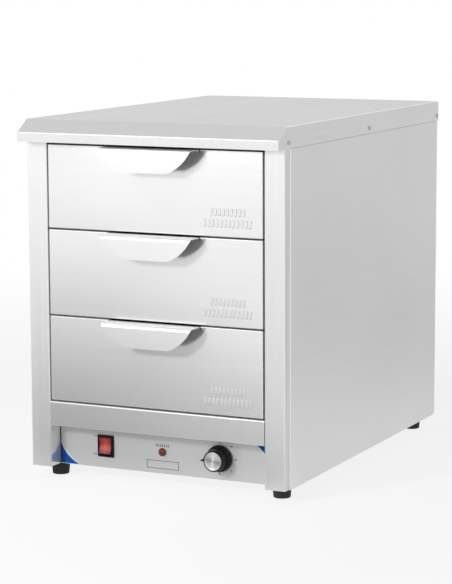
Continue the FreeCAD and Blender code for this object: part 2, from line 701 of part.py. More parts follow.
def handle_corner_trim(top):
    """What is cut off the right lower corner of a handle flap to round it."""
    y0, y1 = -HANDLE_REACH - PAST, -HANDLE_REACH + HANDLE_BENDS[1]
    upper = V(HANDLE_HALF, y0, top)
    lower = V(HANDLE_FLAT, y0, top - HANDLE_DROP)
    chord = lower - upper
    outward = V(-chord.z, 0, chord.x).normalize()
    middle = upper + chord * 0.5 + outward * HANDLE_BULGE
    outside = V(HANDLE_HALF + PAST, y0, top)
    corner = V(outside.x, y0, lower.z - PAST)
    sides = Part.makePolygon([lower, V(lower.x, y0, corner.z), corner, outside, upper])
    waste = Part.Wire([Part.Arc(upper, middle, lower).toShape()] + sides.Edges)
    return Part.Face(waste).extrude(V(0, y1 - y0, 0))


def handle_flap(top):
    """The part of the front that is folded forward and down, with its rounded lower corners."""
    path = [(SHEET, top - HANDLE_ROOT), (SHEET, top),
            (-HANDLE_REACH, top), (-HANDLE_REACH, top - HANDLE_DROP)]
    flap = fold(path, -SHEET, HANDLE_BENDS, -HANDLE_HALF, 2 * HANDLE_HALF, "X")
    trim = handle_corner_trim(top)
    return cut(flap, [trim, mirrored(trim)])


def drawer_front(level):
    """Folded front, open at the rear, whose handle is a flap of the same sheet."""
    bottom, top = drawer_bottom(level), drawer_top(level)
    outer = box(-FRONT_HALF, FRONT_HALF, 0, FRONT_DEPTH, bottom, top)
    outer = outer.makeFillet(TIGHT_BEND, [edge for edge in outer.Edges if edge.BoundBox.YMin < TOUCH])
    hollow = box(-FRONT_HALF + SHEET, FRONT_HALF - SHEET, SHEET, FRONT_DEPTH + PAST,
                 bottom + SHEET, top - SHEET)
    notch_half = HANDLE_HALF + HANDLE_RELIEF
    notch = box(-notch_half, notch_half, -PAST, FRONT_DEPTH + PAST, top - HANDLE_ROOT / 2, top + PAST)
    return fuse([cut(outer, [hollow, notch]), handle_flap(top)])


def drawer_box(level):
    """Open-topped box behind the front: slotted floor, sides and ends, five panels welded together."""
    bottom = drawer_bottom(level) + BOX_RAISE
    rim = drawer_top(level) - BOX_DROP
    floor_top = bottom + BOX_SHEET
    end_half = BOX_HALF - RIM
    outer = box(-BOX_HALF, BOX_HALF, SHEET, BOX_BACK, bottom, rim)
    inside = box(-BOX_HALF + BOX_SHEET, BOX_HALF - BOX_SHEET, SHEET + BOX_SHEET, BOX_BACK - BOX_SHEET,
                 floor_top, rim - BOX_SHEET)
    mouth = box(-end_half, end_half, SHEET + RIM, BOX_BACK - RIM, floor_top, rim + PAST)
    slots = [box(x - BOX_SLOT_LENGTH / 2, x + BOX_SLOT_LENGTH / 2,
                 y - BOX_SLOT_WIDTH / 2, y + BOX_SLOT_WIDTH / 2, bottom - PAST, floor_top + PAST)
             for x in BOX_SLOT_X for y in BOX_SLOT_Y]
    shell = cut(outer, [inside, mouth] + slots)
    zones = [box(-BOX_HALF, BOX_HALF, SHEET, BOX_BACK, bottom, floor_top),
             box(-BOX_HALF, -end_half, SHEET, BOX_BACK, floor_top, rim),
             box(end_half, BOX_HALF, SHEET, BOX_BACK, floor_top, rim),
             box(-end_half, end_half, SHEET, SHEET + RIM, floor_top, rim),
             box(-end_half, end_half, BOX_BACK - RIM, BOX_BACK, floor_top, rim)]
    return group([shell.common(zone).Solids[0] for zone in zones])


def slide_channel(depth_from, depth_to, half_height, web_at_wall, z):
    """One member of a slide on the right: a channel between two depths measured from the inner wall."""
    wall, tip = WALL_HALF - depth_from, WALL_HALF - depth_to
    front, rear = SLIDE_START, SLIDE_START + SLIDE_LENGTH
    outer = box(tip, wall, front, rear, z - half_height, z + half_height)
    flange = half_height - SLIDE_SHEET
    if web_at_wall:
        hollow = box(tip - PAST, wall - SLIDE_SHEET, front - PAST, rear + PAST, z - flange, z + flange)
    else:
        hollow = box(tip + SLIDE_SHEET, wall + PAST, front - PAST, rear + PAST, z - flange, z + flange)
    return cut(outer, [hollow])


def slide_members(level):
    """Outer, intermediate and inner member of the slide on the right of one drawer."""
    z = drawer_bottom(level) + BOX_RAISE + SLIDE_RAISE
    step = SLIDE_SHEET + SLIDE_PLAY
    space = WALL_HALF - BOX_HALF
    return {"outer": slide_channel(0, space - 3 * SLIDE_SHEET, SLIDE_HALF, True, z),
            "intermediate": slide_channel(step, space - 2 * SLIDE_SHEET, SLIDE_HALF - step, True, z),
            "inner": slide_channel(2 * step, space, SLIDE_HALF - 2 * step, False, z)}


# ---- controls -----------------------------------------------------------------------------------
def switch_housing():
    """Bezel and body of the snap-in switch, hollow where the rocker swings, with four tabs behind."""
    front = RECESS - BEZEL_REACH
    bezel = block(SWITCH, BEZEL_HALF, front, RECESS)
    bezel = bezel.makeFillet(BEZEL_EDGE, [edge for edge in bezel.Edges if edge.BoundBox.YMin < front + TOUCH])
    body = block(SWITCH, SWITCH_BODY_HALF, RECESS, SWITCH_BACK)
    well = block(SWITCH, SWITCH_WELL_HALF, front - PAST, SWITCH_BACK - SWITCH_WELL_END)
    socket_start = V(SWITCH.x - SOCKET_HALF, PIVOT_Y, SWITCH.z)
    sockets = rod(PIVOT_RADIUS + DRILL_PLAY, socket_start, X_AXIS, 2 * SOCKET_HALF)
    tabs = [tab(SWITCH, x, z, SWITCH_BACK) for x in SWITCH_TAB_X for z in SWITCH_TAB_Z]
    return fuse([cut(fuse([bezel, body]), [well, sockets])] + tabs)


def switch_rocker():
    """Rocker with a dished face, round ends and two pivot pins, its upper half pressed in."""
    x0 = SWITCH.x - ROCKER_HALF_WIDTH
    tip_y = PIVOT_Y - math.sqrt(ROCKER_RADIUS ** 2 - ROCKER_TIP_Z ** 2)
    back_z = math.sqrt(ROCKER_RADIUS ** 2 - ROCKER_BACK ** 2)
    upper_tip = V(x0, tip_y, SWITCH.z + ROCKER_TIP_Z)
    lower_tip = V(x0, tip_y, SWITCH.z - ROCKER_TIP_Z)
    dish = V(x0, tip_y + ROCKER_DISH, SWITCH.z)
    upper_side = V(x0, PIVOT_Y, SWITCH.z + ROCKER_RADIUS)
    lower_side = V(x0, PIVOT_Y, SWITCH.z - ROCKER_RADIUS)
    upper_back = V(x0, PIVOT_Y + ROCKER_BACK, SWITCH.z + back_z)
    lower_back = V(x0, PIVOT_Y + ROCKER_BACK, SWITCH.z - back_z)
    outline = Part.Wire([Part.Arc(upper_tip, dish, lower_tip).toShape(),
                         Part.Arc(lower_tip, lower_side, lower_back).toShape(),
                         Part.LineSegment(lower_back, upper_back).toShape(),
                         Part.Arc(upper_back, upper_side, upper_tip).toShape()])
    paddle = Part.Face(outline).extrude(V(2 * ROCKER_HALF_WIDTH, 0, 0))
    pins = rod(PIVOT_RADIUS, V(SWITCH.x - PIVOT_HALF, PIVOT_Y, SWITCH.z), X_AXIS, 2 * PIVOT_HALF)
    rocker = fuse([paddle, pins])
    rocker.rotate(V(SWITCH.x, PIVOT_Y, SWITCH.z), X_AXIS, -ROCKER_TILT)
    return rocker


def lamp_lens():
    """Domed lens of the pilot lamp with its flange on the panel."""
    flange_front = RECESS - LENS_FLANGE
    flange = disc(LENS_FLANGE_RADIUS, LAMP, flange_front, RECESS)
    sphere_radius = (LENS_DOME_RADIUS ** 2 + LENS_DOME_HEIGHT ** 2) / (2 * LENS_DOME_HEIGHT)
    tip = flange_front - LENS_DOME_HEIGHT
    ball = Part.makeSphere(sphere_radius, V(LAMP.x, tip + sphere_radius, LAMP.z))
    dome = ball.common(disc(LENS_FLANGE_RADIUS, LAMP, tip - PAST, RECESS - LENS_FLANGE / 2))
    neck = disc(LAMP_NECK_RADIUS, LAMP, RECESS, RECESS + LAMP_NECK)
    return fuse([flange, dome, neck])


def lamp_body():
    """Neon lamp holder behind the panel, with its spring nut and two tabs."""
    front = RECESS + LAMP_NECK
    barrel = disc(LAMP_NECK_RADIUS, LAMP, front, front + LAMP_BARREL)
    nut = disc(LAMP_NUT_RADIUS, LAMP, front, front + LAMP_NUT)
    tabs = [tab(LAMP, x, 0, front + LAMP_BARREL, SMALL_TAB_HALF_WIDTH) for x in LAMP_TAB_X]
    return fuse([barrel, nut] + tabs)


def thermostat_body():
    """Thermostat behind the panel: mounting plate, switch block, shaft bush and tabs."""
    plate_back = PANEL_BACK + THERMOSTAT_PLATE
    block_back = PANEL_BACK + THERMOSTAT_DEPTH
    plate = block(KNOB, THERMOSTAT_PLATE_HALF, PANEL_BACK, plate_back)
    case = block(KNOB, THERMOSTAT_BLOCK_HALF, plate_back, block_back)
    bush = disc(BUSH_RADIUS, KNOB, RECESS - KNOB_CLEAR / 2, plate_back)
    bore = disc(SHAFT_RADIUS + DRILL_PLAY, KNOB, 0, SHAFT_END)
    tabs = [tab(KNOB, x, THERMOSTAT_TAB_Z, block_back) for x in THERMOSTAT_TAB_X]
    return fuse([cut(fuse([plate, case, bush]), [bore])] + tabs)


def thermostat_shaft():
    """Control shaft with a flat for the knob."""
    shaft = disc(SHAFT_RADIUS, KNOB, SHAFT_TIP, SHAFT_END - TOUCH)
    flat = box(KNOB.x - BUSH_RADIUS, KNOB.x + BUSH_RADIUS, SHAFT_TIP - PAST, SHAFT_TIP + SHAFT_FLAT_LENGTH,
               KNOB.z + SHAFT_FLAT, KNOB.z + BUSH_RADIUS)
    return cut(shaft, [flat])


def knob(shaft):
    """Moulded knob: wide skirt, fluted grip and a pointer rib, recessed for its metal cap."""
    seat = KNOB_FACE + CAP_THICKNESS
    grip_end = KNOB_BACK - SKIRT_HEIGHT
    profile = [(0, seat), (CAP_RADIUS + CAP_PLAY, seat), (CAP_RADIUS + CAP_PLAY, KNOB_FACE),
               (KNOB_RIM, KNOB_FACE), (KNOB_RIM + KNOB_BEVEL, KNOB_FACE + KNOB_BEVEL),
               (GRIP_RADIUS, grip_end), (SKIRT_SHOULDER, grip_end + SKIRT_SLOPE),
               (SKIRT_RADIUS, KNOB_BACK - SKIRT_EDGE), (SKIRT_RADIUS, KNOB_BACK), (0, KNOB_BACK)]
    body = turned(profile, KNOB)
    flutes = []
    for index in range(GRIP_FLUTES):
        angle = 2 * math.pi * (index + 0.5) / GRIP_FLUTES
        place = V(KNOB.x + FLUTE_CENTRE * math.cos(angle), 0, KNOB.z + FLUTE_CENTRE * math.sin(angle))
        flutes.append(disc(FLUTE_RADIUS, place, KNOB_FACE - PAST, grip_end - TOUCH))
    pointer = box(KNOB.x - POINTER_TO, KNOB.x - POINTER_FROM,
                  KNOB_FACE + POINTER_SUNK, KNOB_BACK - POINTER_END,
                  KNOB.z - POINTER_HALF, KNOB.z + POINTER_HALF)
    return cut(fuse([cut(body, flutes), pointer]), [shaft])


def knob_cap():
    """Spun metal disc with a raised ring, let into the knob's face."""
    face, ring = KNOB_FACE - CAP_PROUD, KNOB_FACE - CAP_RING_PROUD
    ring_start, ring_inner, ring_outer = CAP_RING
    profile = [(0, face), (ring_start, face), (ring_inner, ring), (ring_outer, ring), (CAP_RADIUS, face),
               (CAP_RADIUS, KNOB_FACE + CAP_THICKNESS), (0, KNOB_FACE + CAP_THICKNESS)]
    return turned(profile, KNOB)


# ---- electrics ----------------------------------------------------------------------------------
def cable_gland():
    """Threaded gland in the rear panel: hexagon and dome outside, locknut inside, bored for the lead."""
    inner_end = REAR_INSIDE - GLAND_INSIDE
    dome = [(radius, DEPTH + reach) for radius, reach in GLAND_DOME]
    profile = [(0, inner_end), (GLAND_THREAD, inner_end), (GLAND_THREAD, DEPTH), (dome[0][0], DEPTH)] + dome
    body = turned(profile + [(0, DEPTH + GLAND_REACH)], GLAND)
    nut = hexagon(GLAND_NUT_FLATS, V(GLAND.x, DEPTH, GLAND.z), Y_AXIS, GLAND_NUT)
    locknut = hexagon(LOCKNUT_FLATS, V(GLAND.x, REAR_INSIDE - LOCKNUT, GLAND.z), Y_AXIS, LOCKNUT)
    return cut(fuse([body, nut, locknut]), [disc(GLAND_BORE, GLAND, 0, 2 * DEPTH)])


def terminal_block():
    """Three-way ceramic block on the base pan."""
    width, depth, height = TERMINAL_SIZE
    case = box(GLAND.x - width / 2, GLAND.x + width / 2, TERMINAL_Y, TERMINAL_Y + depth,
               SHEET, SHEET + height)
    way_z = SHEET + WAY_HEIGHT
    ways = [disc(WAY_RADIUS, V(GLAND.x + x, 0, way_z), TERMINAL_Y - PAST, TERMINAL_Y + depth + PAST)
            for x in TERMINAL_WAYS]
    screws = [rod(WAY_SCREW_RADIUS, V(GLAND.x + x, TERMINAL_Y + depth / 2, way_z), Z_AXIS, height)
              for x in TERMINAL_WAYS]
    return cut(case, ways + screws)


def wiring():
    """Insulated wires from the terminal block to the switch, and on to the thermostat and the element."""
    block_y, block_z = TERMINAL_Y - PAST, SHEET + WAY_HEIGHT
    switch_y, switch_z = SWITCH_BACK + TAB_LENGTH + WIRE_GAP, SWITCH.z + min(SWITCH_TAB_Z)
    dial_y, dial_z = PANEL_BACK + THERMOSTAT_DEPTH + TAB_LENGTH + WIRE_GAP, KNOB.z + THERMOSTAT_TAB_Z
    tail_z = ELEMENT_TAIL - WIRE_GAP
    live_x, neutral_x = GLAND.x + TERMINAL_WAYS[0], GLAND.x + TERMINAL_WAYS[1]
    feed_x, switched_x = (SWITCH.x + x for x in SWITCH_TAB_X)
    in_x, out_x = KNOB.x + THERMOSTAT_TAB_X[0], KNOB.x + THERMOSTAT_TAB_X[2]
    live = [V(live_x, block_y, block_z), V(live_x, LIVE_TURN_Y, block_z),
            V(feed_x, WIRE_TURN_Y, switch_z), V(feed_x, switch_y, switch_z)]
    switched = [V(switched_x, switch_y, switch_z), V(switched_x, ELEMENT_FRONT, switch_z),
                V(WIRE_DIP_X, WIRE_TURN_Y, WIRE_LOW), V(in_x, ELEMENT_FRONT, dial_z), V(in_x, dial_y, dial_z)]
    neutral = [V(neutral_x, block_y, block_z), V(neutral_x, NEUTRAL_TURN_Y, block_z),
               V(-ELEMENT_END, NEUTRAL_RISE_Y, NEUTRAL_Z), V(-ELEMENT_END, ELEMENT_FRONT, NEUTRAL_Z),
               V(-ELEMENT_END, ELEMENT_FRONT, tail_z)]
    load = [V(out_x, dial_y, dial_z), V(out_x, LOAD_TURN_Y, dial_z),
            V(ELEMENT_END, ELEMENT_FRONT, dial_z), V(ELEMENT_END, ELEMENT_FRONT, tail_z)]
    return group([tube(route, WIRE_RADIUS, WIRE_BEND) for route in (live, switched, neutral, load)])


# ---- assembly -----------------------------------------------------------------------------------
def casing():
    nodes = {"lid": lid(),
             "lid_screws": lid_screws(),
             "fascia_rail": front_rail(FASCIA_BOTTOM, FASCIA_TOP),
             "top_rail": front_rail(LID_EDGE, POST_TOP),
             "control_panel": control_panel(),
             "rear_panel": rear_panel(),
             "rear_panel_screws": rear_screws(),
             "base_pan": base_pan(),
             "rubber_feet": rubber_feet(),
             "foot_studs": foot_studs()}
    for side, shape in side_pair(side_cover()).items():
        nodes[f"side_cover_{side}"] = shape
    for side, shape in side_pair(front_post()).items():
        nodes[f"front_post_{side}"] = shape
    return nodes


def heated_space():
    element = heating_element()
    nodes = {"chassis_deck": chassis_deck(),
             "inner_back": inner_back(),
             "inner_roof": inner_roof(),
             "cavity_floor": cavity_floor(),
             "heating_element": element,
             "element_saddles": element_saddles(element),
             "thermostat_bulb": thermostat_bulb(),
             "over_temperature_cut_out": cut_out()}
    for side, shape in side_pair(inner_wall()).items():
        nodes[f"inner_wall_{side}"] = shape
    for place, shape in insulation().items():
        nodes[f"insulation_{place}"] = shape
    return nodes


def drawers():
    nodes = {}
    for level, name in enumerate(DRAWERS):
        nodes[f"{name}_drawer_front"] = drawer_front(level)
        nodes[f"{name}_drawer_box"] = drawer_box(level)
        members = slide_members(level)
        nodes[f"{name}_slide_outer_pair"] = group(list(side_pair(members["outer"]).values()))
        for member in ("intermediate", "inner"):
            for side, shape in side_pair(members[member]).items():
                nodes[f"{name}_slide_{member}_{side}"] = shape
    return nodes


def controls():
    shaft = thermostat_shaft()
    return {"switch_housing": switch_housing(),
            "switch_rocker": switch_rocker(),
            "pilot_lamp_lens": lamp_lens(),
            "pilot_lamp_body": lamp_body(),
            "thermostat_body": thermostat_body(),
            "thermostat_shaft": shaft,
            "knob": knob(shaft),
            "knob_cap": knob_cap(),
            "cable_gland": cable_gland(),
            "terminal_block": terminal_block(),
            "wiring": wiring()}


def main():
    os.makedirs("parts", exist_ok=True)
    for nodes in (casing(), heated_space(), drawers(), controls()):
        for node, shape in nodes.items():
            export(node, shape)


main()
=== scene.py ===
import math

import bmesh
import bpy
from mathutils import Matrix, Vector


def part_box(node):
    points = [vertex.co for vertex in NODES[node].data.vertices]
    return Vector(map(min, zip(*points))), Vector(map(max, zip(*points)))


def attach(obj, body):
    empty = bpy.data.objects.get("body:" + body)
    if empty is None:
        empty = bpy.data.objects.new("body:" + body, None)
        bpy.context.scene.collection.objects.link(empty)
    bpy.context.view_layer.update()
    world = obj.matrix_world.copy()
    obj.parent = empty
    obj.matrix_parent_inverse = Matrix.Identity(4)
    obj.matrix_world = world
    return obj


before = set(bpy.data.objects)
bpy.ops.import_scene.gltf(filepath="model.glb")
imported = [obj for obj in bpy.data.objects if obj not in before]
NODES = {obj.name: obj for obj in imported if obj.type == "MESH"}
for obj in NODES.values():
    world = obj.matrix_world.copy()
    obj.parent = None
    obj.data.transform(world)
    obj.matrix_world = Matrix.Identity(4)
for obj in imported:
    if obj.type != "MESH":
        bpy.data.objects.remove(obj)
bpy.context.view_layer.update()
MM = 0.001


def centre(node):
    """The middle of a node's box."""
    low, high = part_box(node)
    return (low + high) / 2


def add_object(name, data):
    made = bpy.data.objects.new(name, data)
    bpy.context.scene.collection.objects.link(made)
    return made


# ---- places taken from the frame ----------------------------------------------------------------
DRAWERS = ("bottom", "middle", "top")
PANEL_LOW, PANEL_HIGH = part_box("control_panel")
PANEL_FACE = PANEL_LOW.y
PANEL_BASE = PANEL_LOW.z
FRONT_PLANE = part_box("fascia_rail")[0].y
KNOB_CENTRE = centre("knob_cap")
LAMP_CENTRE = centre("pilot_lamp_lens")
ROCKER_CENTRE = centre("switch_rocker")
SWITCH_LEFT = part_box("switch_housing")[0].x


# ---- camera -------------------------------------------------------------------------------------
CAMERA_BEFORE_FRONT = 2.8935    # metres in front of the posts
CAMERA_RIGHT = 1.5020           # metres to the right of the middle
CAMERA_HEIGHT = 0.7725          # metres above the casing's lower edge
CAMERA_YAW = 25.537             # degrees
CAMERA_PITCH = 8.522
CAMERA_ROLL = -0.206
CAMERA_LENS = 135.81            # millimetres
CAMERA_SENSOR = 36.0
CAMERA_REACH = 100.0            # metres


def add_camera():
    data = bpy.data.cameras.new("camera")
    data.lens = CAMERA_LENS
    data.sensor_width = CAMERA_SENSOR
    data.sensor_fit = "AUTO"
    data.clip_end = CAMERA_REACH
    camera = add_object("camera", data)
    camera.location = (CAMERA_RIGHT, FRONT_PLANE - CAMERA_BEFORE_FRONT, PANEL_BASE + CAMERA_HEIGHT)
    camera.rotation_euler = (math.radians(90 - CAMERA_PITCH), 0, math.radians(CAMERA_YAW))
    camera.rotation_euler.rotate_axis("Z", math.radians(CAMERA_ROLL))
    bpy.context.scene.camera = camera


add_camera()


# ---- node helpers -------------------------------------------------------------------------------
RISE = (0.0, 1.0)
FALL = (1.0, 0.0)
NOISE_CORE = (0.3, 0.7)         # most values of a noise lie between these
NOISE_SPREAD = (0.2, 0.8)       # nearly all of them do


class Graph:
    """A short way to write the nodes of a material or of the world."""

    def __init__(self, tree):
        self.tree = tree

    def node(self, kind, inputs=None, **settings):
        made = self.tree.nodes.new(kind)
        for key, value in settings.items():
            setattr(made, key, value)
        for key, value in (inputs or {}).items():
            self.feed(made.inputs[key], value)
        return made

    def feed(self, socket, value):
        if isinstance(value, bpy.types.NodeSocket):
            self.tree.links.new(value, socket)
        else:
            socket.default_value = value

    def math(self, operation, a, b=0.0):
        return self.node("ShaderNodeMath", {0: a, 1: b}, operation=operation).outputs[0]

    def vector(self, operation, a, b):
        return self.node("ShaderNodeVectorMath", {0: a, 1: b}, operation=operation).outputs["Vector"]

    def length(self, vector):
        return self.node("ShaderNodeVectorMath", {0: vector}, operation="LENGTH").outputs["Value"]

    def scaled(self, vector, factor):
        inputs = {0: vector, "Scale": factor}
        return self.node("ShaderNodeVectorMath", inputs, operation="SCALE").outputs["Vector"]

    def parts(self, vector):
        """The outputs X, Y and Z of a vector."""
        return self.node("ShaderNodeSeparateXYZ", {0: vector}).outputs

    def blend(self, factor, a, b):
        """A number that goes from a to b."""
        return self.node("ShaderNodeMix", {"Factor": factor, "A": a, "B": b}, data_type="FLOAT").outputs[0]

    def tint(self, factor, a, b):
        """A colour that goes from a to b."""
        mix = self.node("ShaderNodeMix", data_type="RGBA")
        self.feed(mix.inputs[0], factor)
        self.feed(mix.inputs[6], a)
        self.feed(mix.inputs[7], b)
        return mix.outputs[2]

    def remap(self, value, span, result):
        """Goes from the first result to the second as the value crosses the span, and stays there."""
        inputs = dict(enumerate((value, *span, *result)))
        return self.node("ShaderNodeMapRange", inputs).outputs[0]

    def stretched(self, vector, scale):
        return self.node("ShaderNodeMapping", {"Vector": vector, "Scale": scale}).outputs[0]

    def noise(self, vector, scale, detail=2.0, roughness=0.5):
        inputs = {"Vector": vector, "Scale": scale, "Detail": detail, "Roughness": roughness}
        return self.node("ShaderNodeTexNoise", inputs).outputs["Fac"]

    def bump(self, height, depth, strength=1.0):
        inputs = {"Height": height, "Distance": depth, "Strength": strength}
        return self.node("ShaderNodeBump", inputs).outputs[0]


def new_material(name):
    """A shader with nothing on it yet, and the place of each of its points in metres."""
    material = bpy.data.materials.new(name)
    material.use_nodes = True
    graph = Graph(material.node_tree)
    graph.tree.nodes.clear()
    shader = graph.node("ShaderNodeBsdfPrincipled")
    output = graph.node("ShaderNodeOutputMaterial")
    graph.tree.links.new(shader.outputs[0], output.inputs["Surface"])
    place = graph.node("ShaderNodeTexCoord").outputs["Object"]
    return material, graph, shader, place


def rgb(red, green, blue):
    return (red, green, blue, 1.0)


def grey(value):
    return rgb(value, value, value)


def around(middle, swing):
    return (middle - swing, middle + swing)


# ---- steel --------------------------------------------------------------------------------------
STEEL_TONE = 0.84
STEEL_BLUE = 1.005              # blue beside red and green
STEEL_HAZE = 0.02               # how far broad clouds swing the tone
STEEL_ROUGHNESS_SWING = 0.015
CROWN = 0.45 * MM               # how far each drawer front bows forward at half its height
LOOKS_SIDEWAYS = (0.5, 0.8)     # the part of a normal from which a face counts a little, and in full
LOOKS_UP = (0.6, 0.9)
LOOKS_BACK = (0.2, 0.5)
FLAP_ZONE = (FRONT_PLANE - 2.0 * MM, FRONT_PLANE - 0.5 * MM)    # before this depth are only the flaps
FLAP_BACK_PAINTED_SHADE = 0.20             # painted shade: tone of a handle flap's back beside its face, darker for the shade between flap and front
SATIN_SCATTER = 0.36            # share of light that the satin sheets in front scatter
ROLLED_TONES = (0.85, 1.1)      # darkest and lightest spangle beside the sheet's tone
ROLLED_GRAIN_SHARE = 0.3        # of sharp grains in the spangle, beside soft clouds
ROLLED_ROUGHNESS_SWING = 0.08
GRAINS = {
    # name: how finely the streaks vary in X, Y and Z, and which way they run
    "across": ((1.0, 1.0, 90.0), (1.0, 0.02, 0.0)),
    "deep": ((90.0, 1.0, 90.0), (0.0, 1.0, 0.02)),
    "upright": ((90.0, 90.0, 1.0), (0.0, 0.02, 1.0)),
}


def painted_flap_shade(graph, place, facing, painted_back_shade):
    """Painted shade on the handle flaps' back: goes from one to the darker tone given for it, for the shade
    there.
    """
    before_front = graph.remap(graph.parts(place)["Y"], FLAP_ZONE, FALL)
    backward = graph.remap(facing["Y"], LOOKS_BACK, RISE)
    return graph.blend(graph.math("MULTIPLY", backward, before_front), 1.0, painted_back_shade)


def sheet_relief(graph, place, cloud, dents, crowns):
    """Height of the uneven surface, with a bow across each crown."""
    height = graph.math("MULTIPLY", cloud, dents)
    level = graph.parts(place)["Z"]
    for crown in crowns:
        across = graph.remap(level, crown, (-1.0, 1.0))
        bow = graph.math("MULTIPLY", graph.math("MULTIPLY", across, across), CROWN)
        height = graph.math("SUBTRACT", height, bow)
    return height


def brushed_steel(name, grain, tone=STEEL_TONE, roughness=0.24, anisotropy=0.95, streaks=0.035,
                  dents=0.25 * MM, bright_sides=0.0, dull_tops=0.0, painted_back_shade=1.0, scatter=0.0, crowns=()):
    """Stainless sheet: fine streaks along the grain, faint clouds and a slightly uneven surface.

    streaks is how far the streaks swing the tone, and dents how deep the unevenness is. bright_sides is
    the roughness taken off faces that look sideways, and dull_tops what is added on faces that look up.
    The tone given for the handle flaps' back beside their face is painted shade, darker for the shade that
    falls between flap and front. scatter is the share of light that the sheet scatters and doesn't mirror.
    Each crown is a low and a high level between which the sheet bows forward very slightly.
    """
    stretch, direction = GRAINS[grain]
    material, graph, shader, place = new_material(name)
    normal = graph.node("ShaderNodeNewGeometry").outputs["Normal"]
    facing = graph.parts(normal)
    along = graph.stretched(place, stretch)
    fine = graph.noise(along, scale=9.0, detail=3.0, roughness=0.65)
    broad = graph.noise(along, scale=2.2)
    cloud = graph.noise(place, scale=4.5)
    light = graph.remap(graph.blend(0.5, fine, broad), NOISE_CORE, around(1.0, streaks))
    light = graph.math("MULTIPLY", light, graph.remap(cloud, NOISE_CORE, around(1.0, STEEL_HAZE)))
    # painted shade on the flaps' back, darker where shade falls between flap and front
    light = graph.math("MULTIPLY", light, painted_flap_shade(graph, place, facing, painted_back_shade))
    graph.feed(shader.inputs["Base Color"], graph.scaled((tone, tone, tone * STEEL_BLUE), light))
    sideways = graph.math("ABSOLUTE", facing["X"])
    rough = graph.remap(broad, NOISE_CORE, around(roughness, STEEL_ROUGHNESS_SWING))
    rough = graph.math("SUBTRACT", rough, graph.remap(sideways, LOOKS_SIDEWAYS, (0.0, bright_sides)))
    rough = graph.math("ADD", rough, graph.remap(facing["Z"], LOOKS_UP, (0.0, dull_tops)))
    graph.feed(shader.inputs["Roughness"], rough)
    shader.inputs["Metallic"].default_value = 1.0 - scatter
    shader.inputs["Anisotropic"].default_value = anisotropy
    graph.feed(shader.inputs["Tangent"], graph.vector("CROSS_PRODUCT", normal, direction))
    relief = sheet_relief(graph, place, cloud, dents, crowns)
    graph.feed(shader.inputs["Normal"], graph.bump(relief, depth=1.0))
    return material


def rolled_steel(name, tone, roughness):
    """Plain mill-finish or zinc-plated sheet with cloudy spangle."""
    material, graph, shader, place = new_material(name)
    cloud = graph.noise(place, scale=30.0, detail=4.0, roughness=0.6)
    grains = graph.node("ShaderNodeTexVoronoi", {"Vector": place, "Scale": 160.0}).outputs["Distance"]
    mottled = graph.blend(ROLLED_GRAIN_SHARE, cloud, grains)
    dark, light = [grey(tone * share) for share in ROLLED_TONES]
    rough = graph.remap(cloud, NOISE_SPREAD, around(roughness, ROLLED_ROUGHNESS_SWING))
    graph.feed(shader.inputs["Base Color"], graph.tint(mottled, dark, light))
    graph.feed(shader.inputs["Roughness"], rough)
    shader.inputs["Metallic"].default_value = 1.0
    graph.feed(shader.inputs["Normal"], graph.bump(mottled, depth=0.1 * MM, strength=0.3))
    return material


# ---- plastics, rubber and print -----------------------------------------------------------------
MOULDED_FLOW = (0.25, 0.75)     # span of the flow marks' noise
MOULDED_ROUGHNESS_SWING = 0.06
INK_DARKEST = 0.9               # beside the ink's own colour
GLOW_SHAPE = (1.0, 0.0, 0.8)    # stretch in X, Y and Z: the glow is a little taller than wide
GLOW_UNEVENNESS = 0.06
GLOSS_ROUGHNESS = (0.16, 0.24)
GLOSS_COAT = 0.6
GLOSS_COAT_ROUGHNESS = 0.06


def moulded(name, dark, light, roughness, grain_scale=900.0, depth=0.06 * MM, specular=0.5):
    """Moulded plastic or rubber with a fine texture and faint flow marks."""
    material, graph, shader, place = new_material(name)
    texture = graph.noise(place, scale=grain_scale, detail=3.0, roughness=0.6)
    flow = graph.noise(place, scale=60.0, detail=3.0)
    graph.feed(shader.inputs["Base Color"], graph.tint(graph.blend(0.5, texture, flow), dark, light))
    rough = graph.remap(flow, MOULDED_FLOW, around(roughness, MOULDED_ROUGHNESS_SWING))
    graph.feed(shader.inputs["Roughness"], rough)
    shader.inputs["Specular IOR Level"].default_value = specular
    graph.feed(shader.inputs["Normal"], graph.bump(texture, depth, strength=0.5))
    return material


def printed(name, colour, roughness=0.45):
    """Screen-printed ink with a slight unevenness."""
    dark = rgb(*(INK_DARKEST * part for part in colour[:3]))
    return moulded(name, dark, colour, roughness, grain_scale=500.0, depth=0.01 * MM, specular=0.25)


def glowing_plastic(name, middle, radius, inner, outer, glow):
    """Translucent coloured plastic glowing from a small lamp behind its middle; with that lamp off, the glow
    is painted light.
    """
    material, graph, shader, place = new_material(name)
    flow = graph.noise(place, scale=120.0, detail=3.0)
    offset = graph.vector("SUBTRACT", place, middle)
    away = graph.length(graph.stretched(offset, GLOW_SHAPE))
    outward = graph.remap(away, (0.0, radius), RISE)
    outward = graph.math("ADD", outward, graph.remap(flow, NOISE_CORE, around(0.0, GLOW_UNEVENNESS)))
    colour = graph.tint(graph.remap(outward, RISE, RISE), inner, outer)
    graph.feed(shader.inputs["Base Color"], colour)
    graph.feed(shader.inputs["Roughness"], graph.remap(flow, NOISE_CORE, GLOSS_ROUGHNESS))
    graph.feed(shader.inputs["Emission Color"], colour)
    shader.inputs["Emission Strength"].default_value = glow
    shader.inputs["Coat Weight"].default_value = GLOSS_COAT
    shader.inputs["Coat Roughness"].default_value = GLOSS_COAT_ROUGHNESS
    return material


# ---- other metals and wool ----------------------------------------------------------------------
RINGS_PER_METRE = 1800.0
SPUN_TONES = (0.84, 1.0)
SPUN_ROUGHNESS = (0.24, 0.34)
WOOL_DARK = (0.38, 0.32, 0.18)
WOOL_LIGHT = (0.62, 0.54, 0.34)


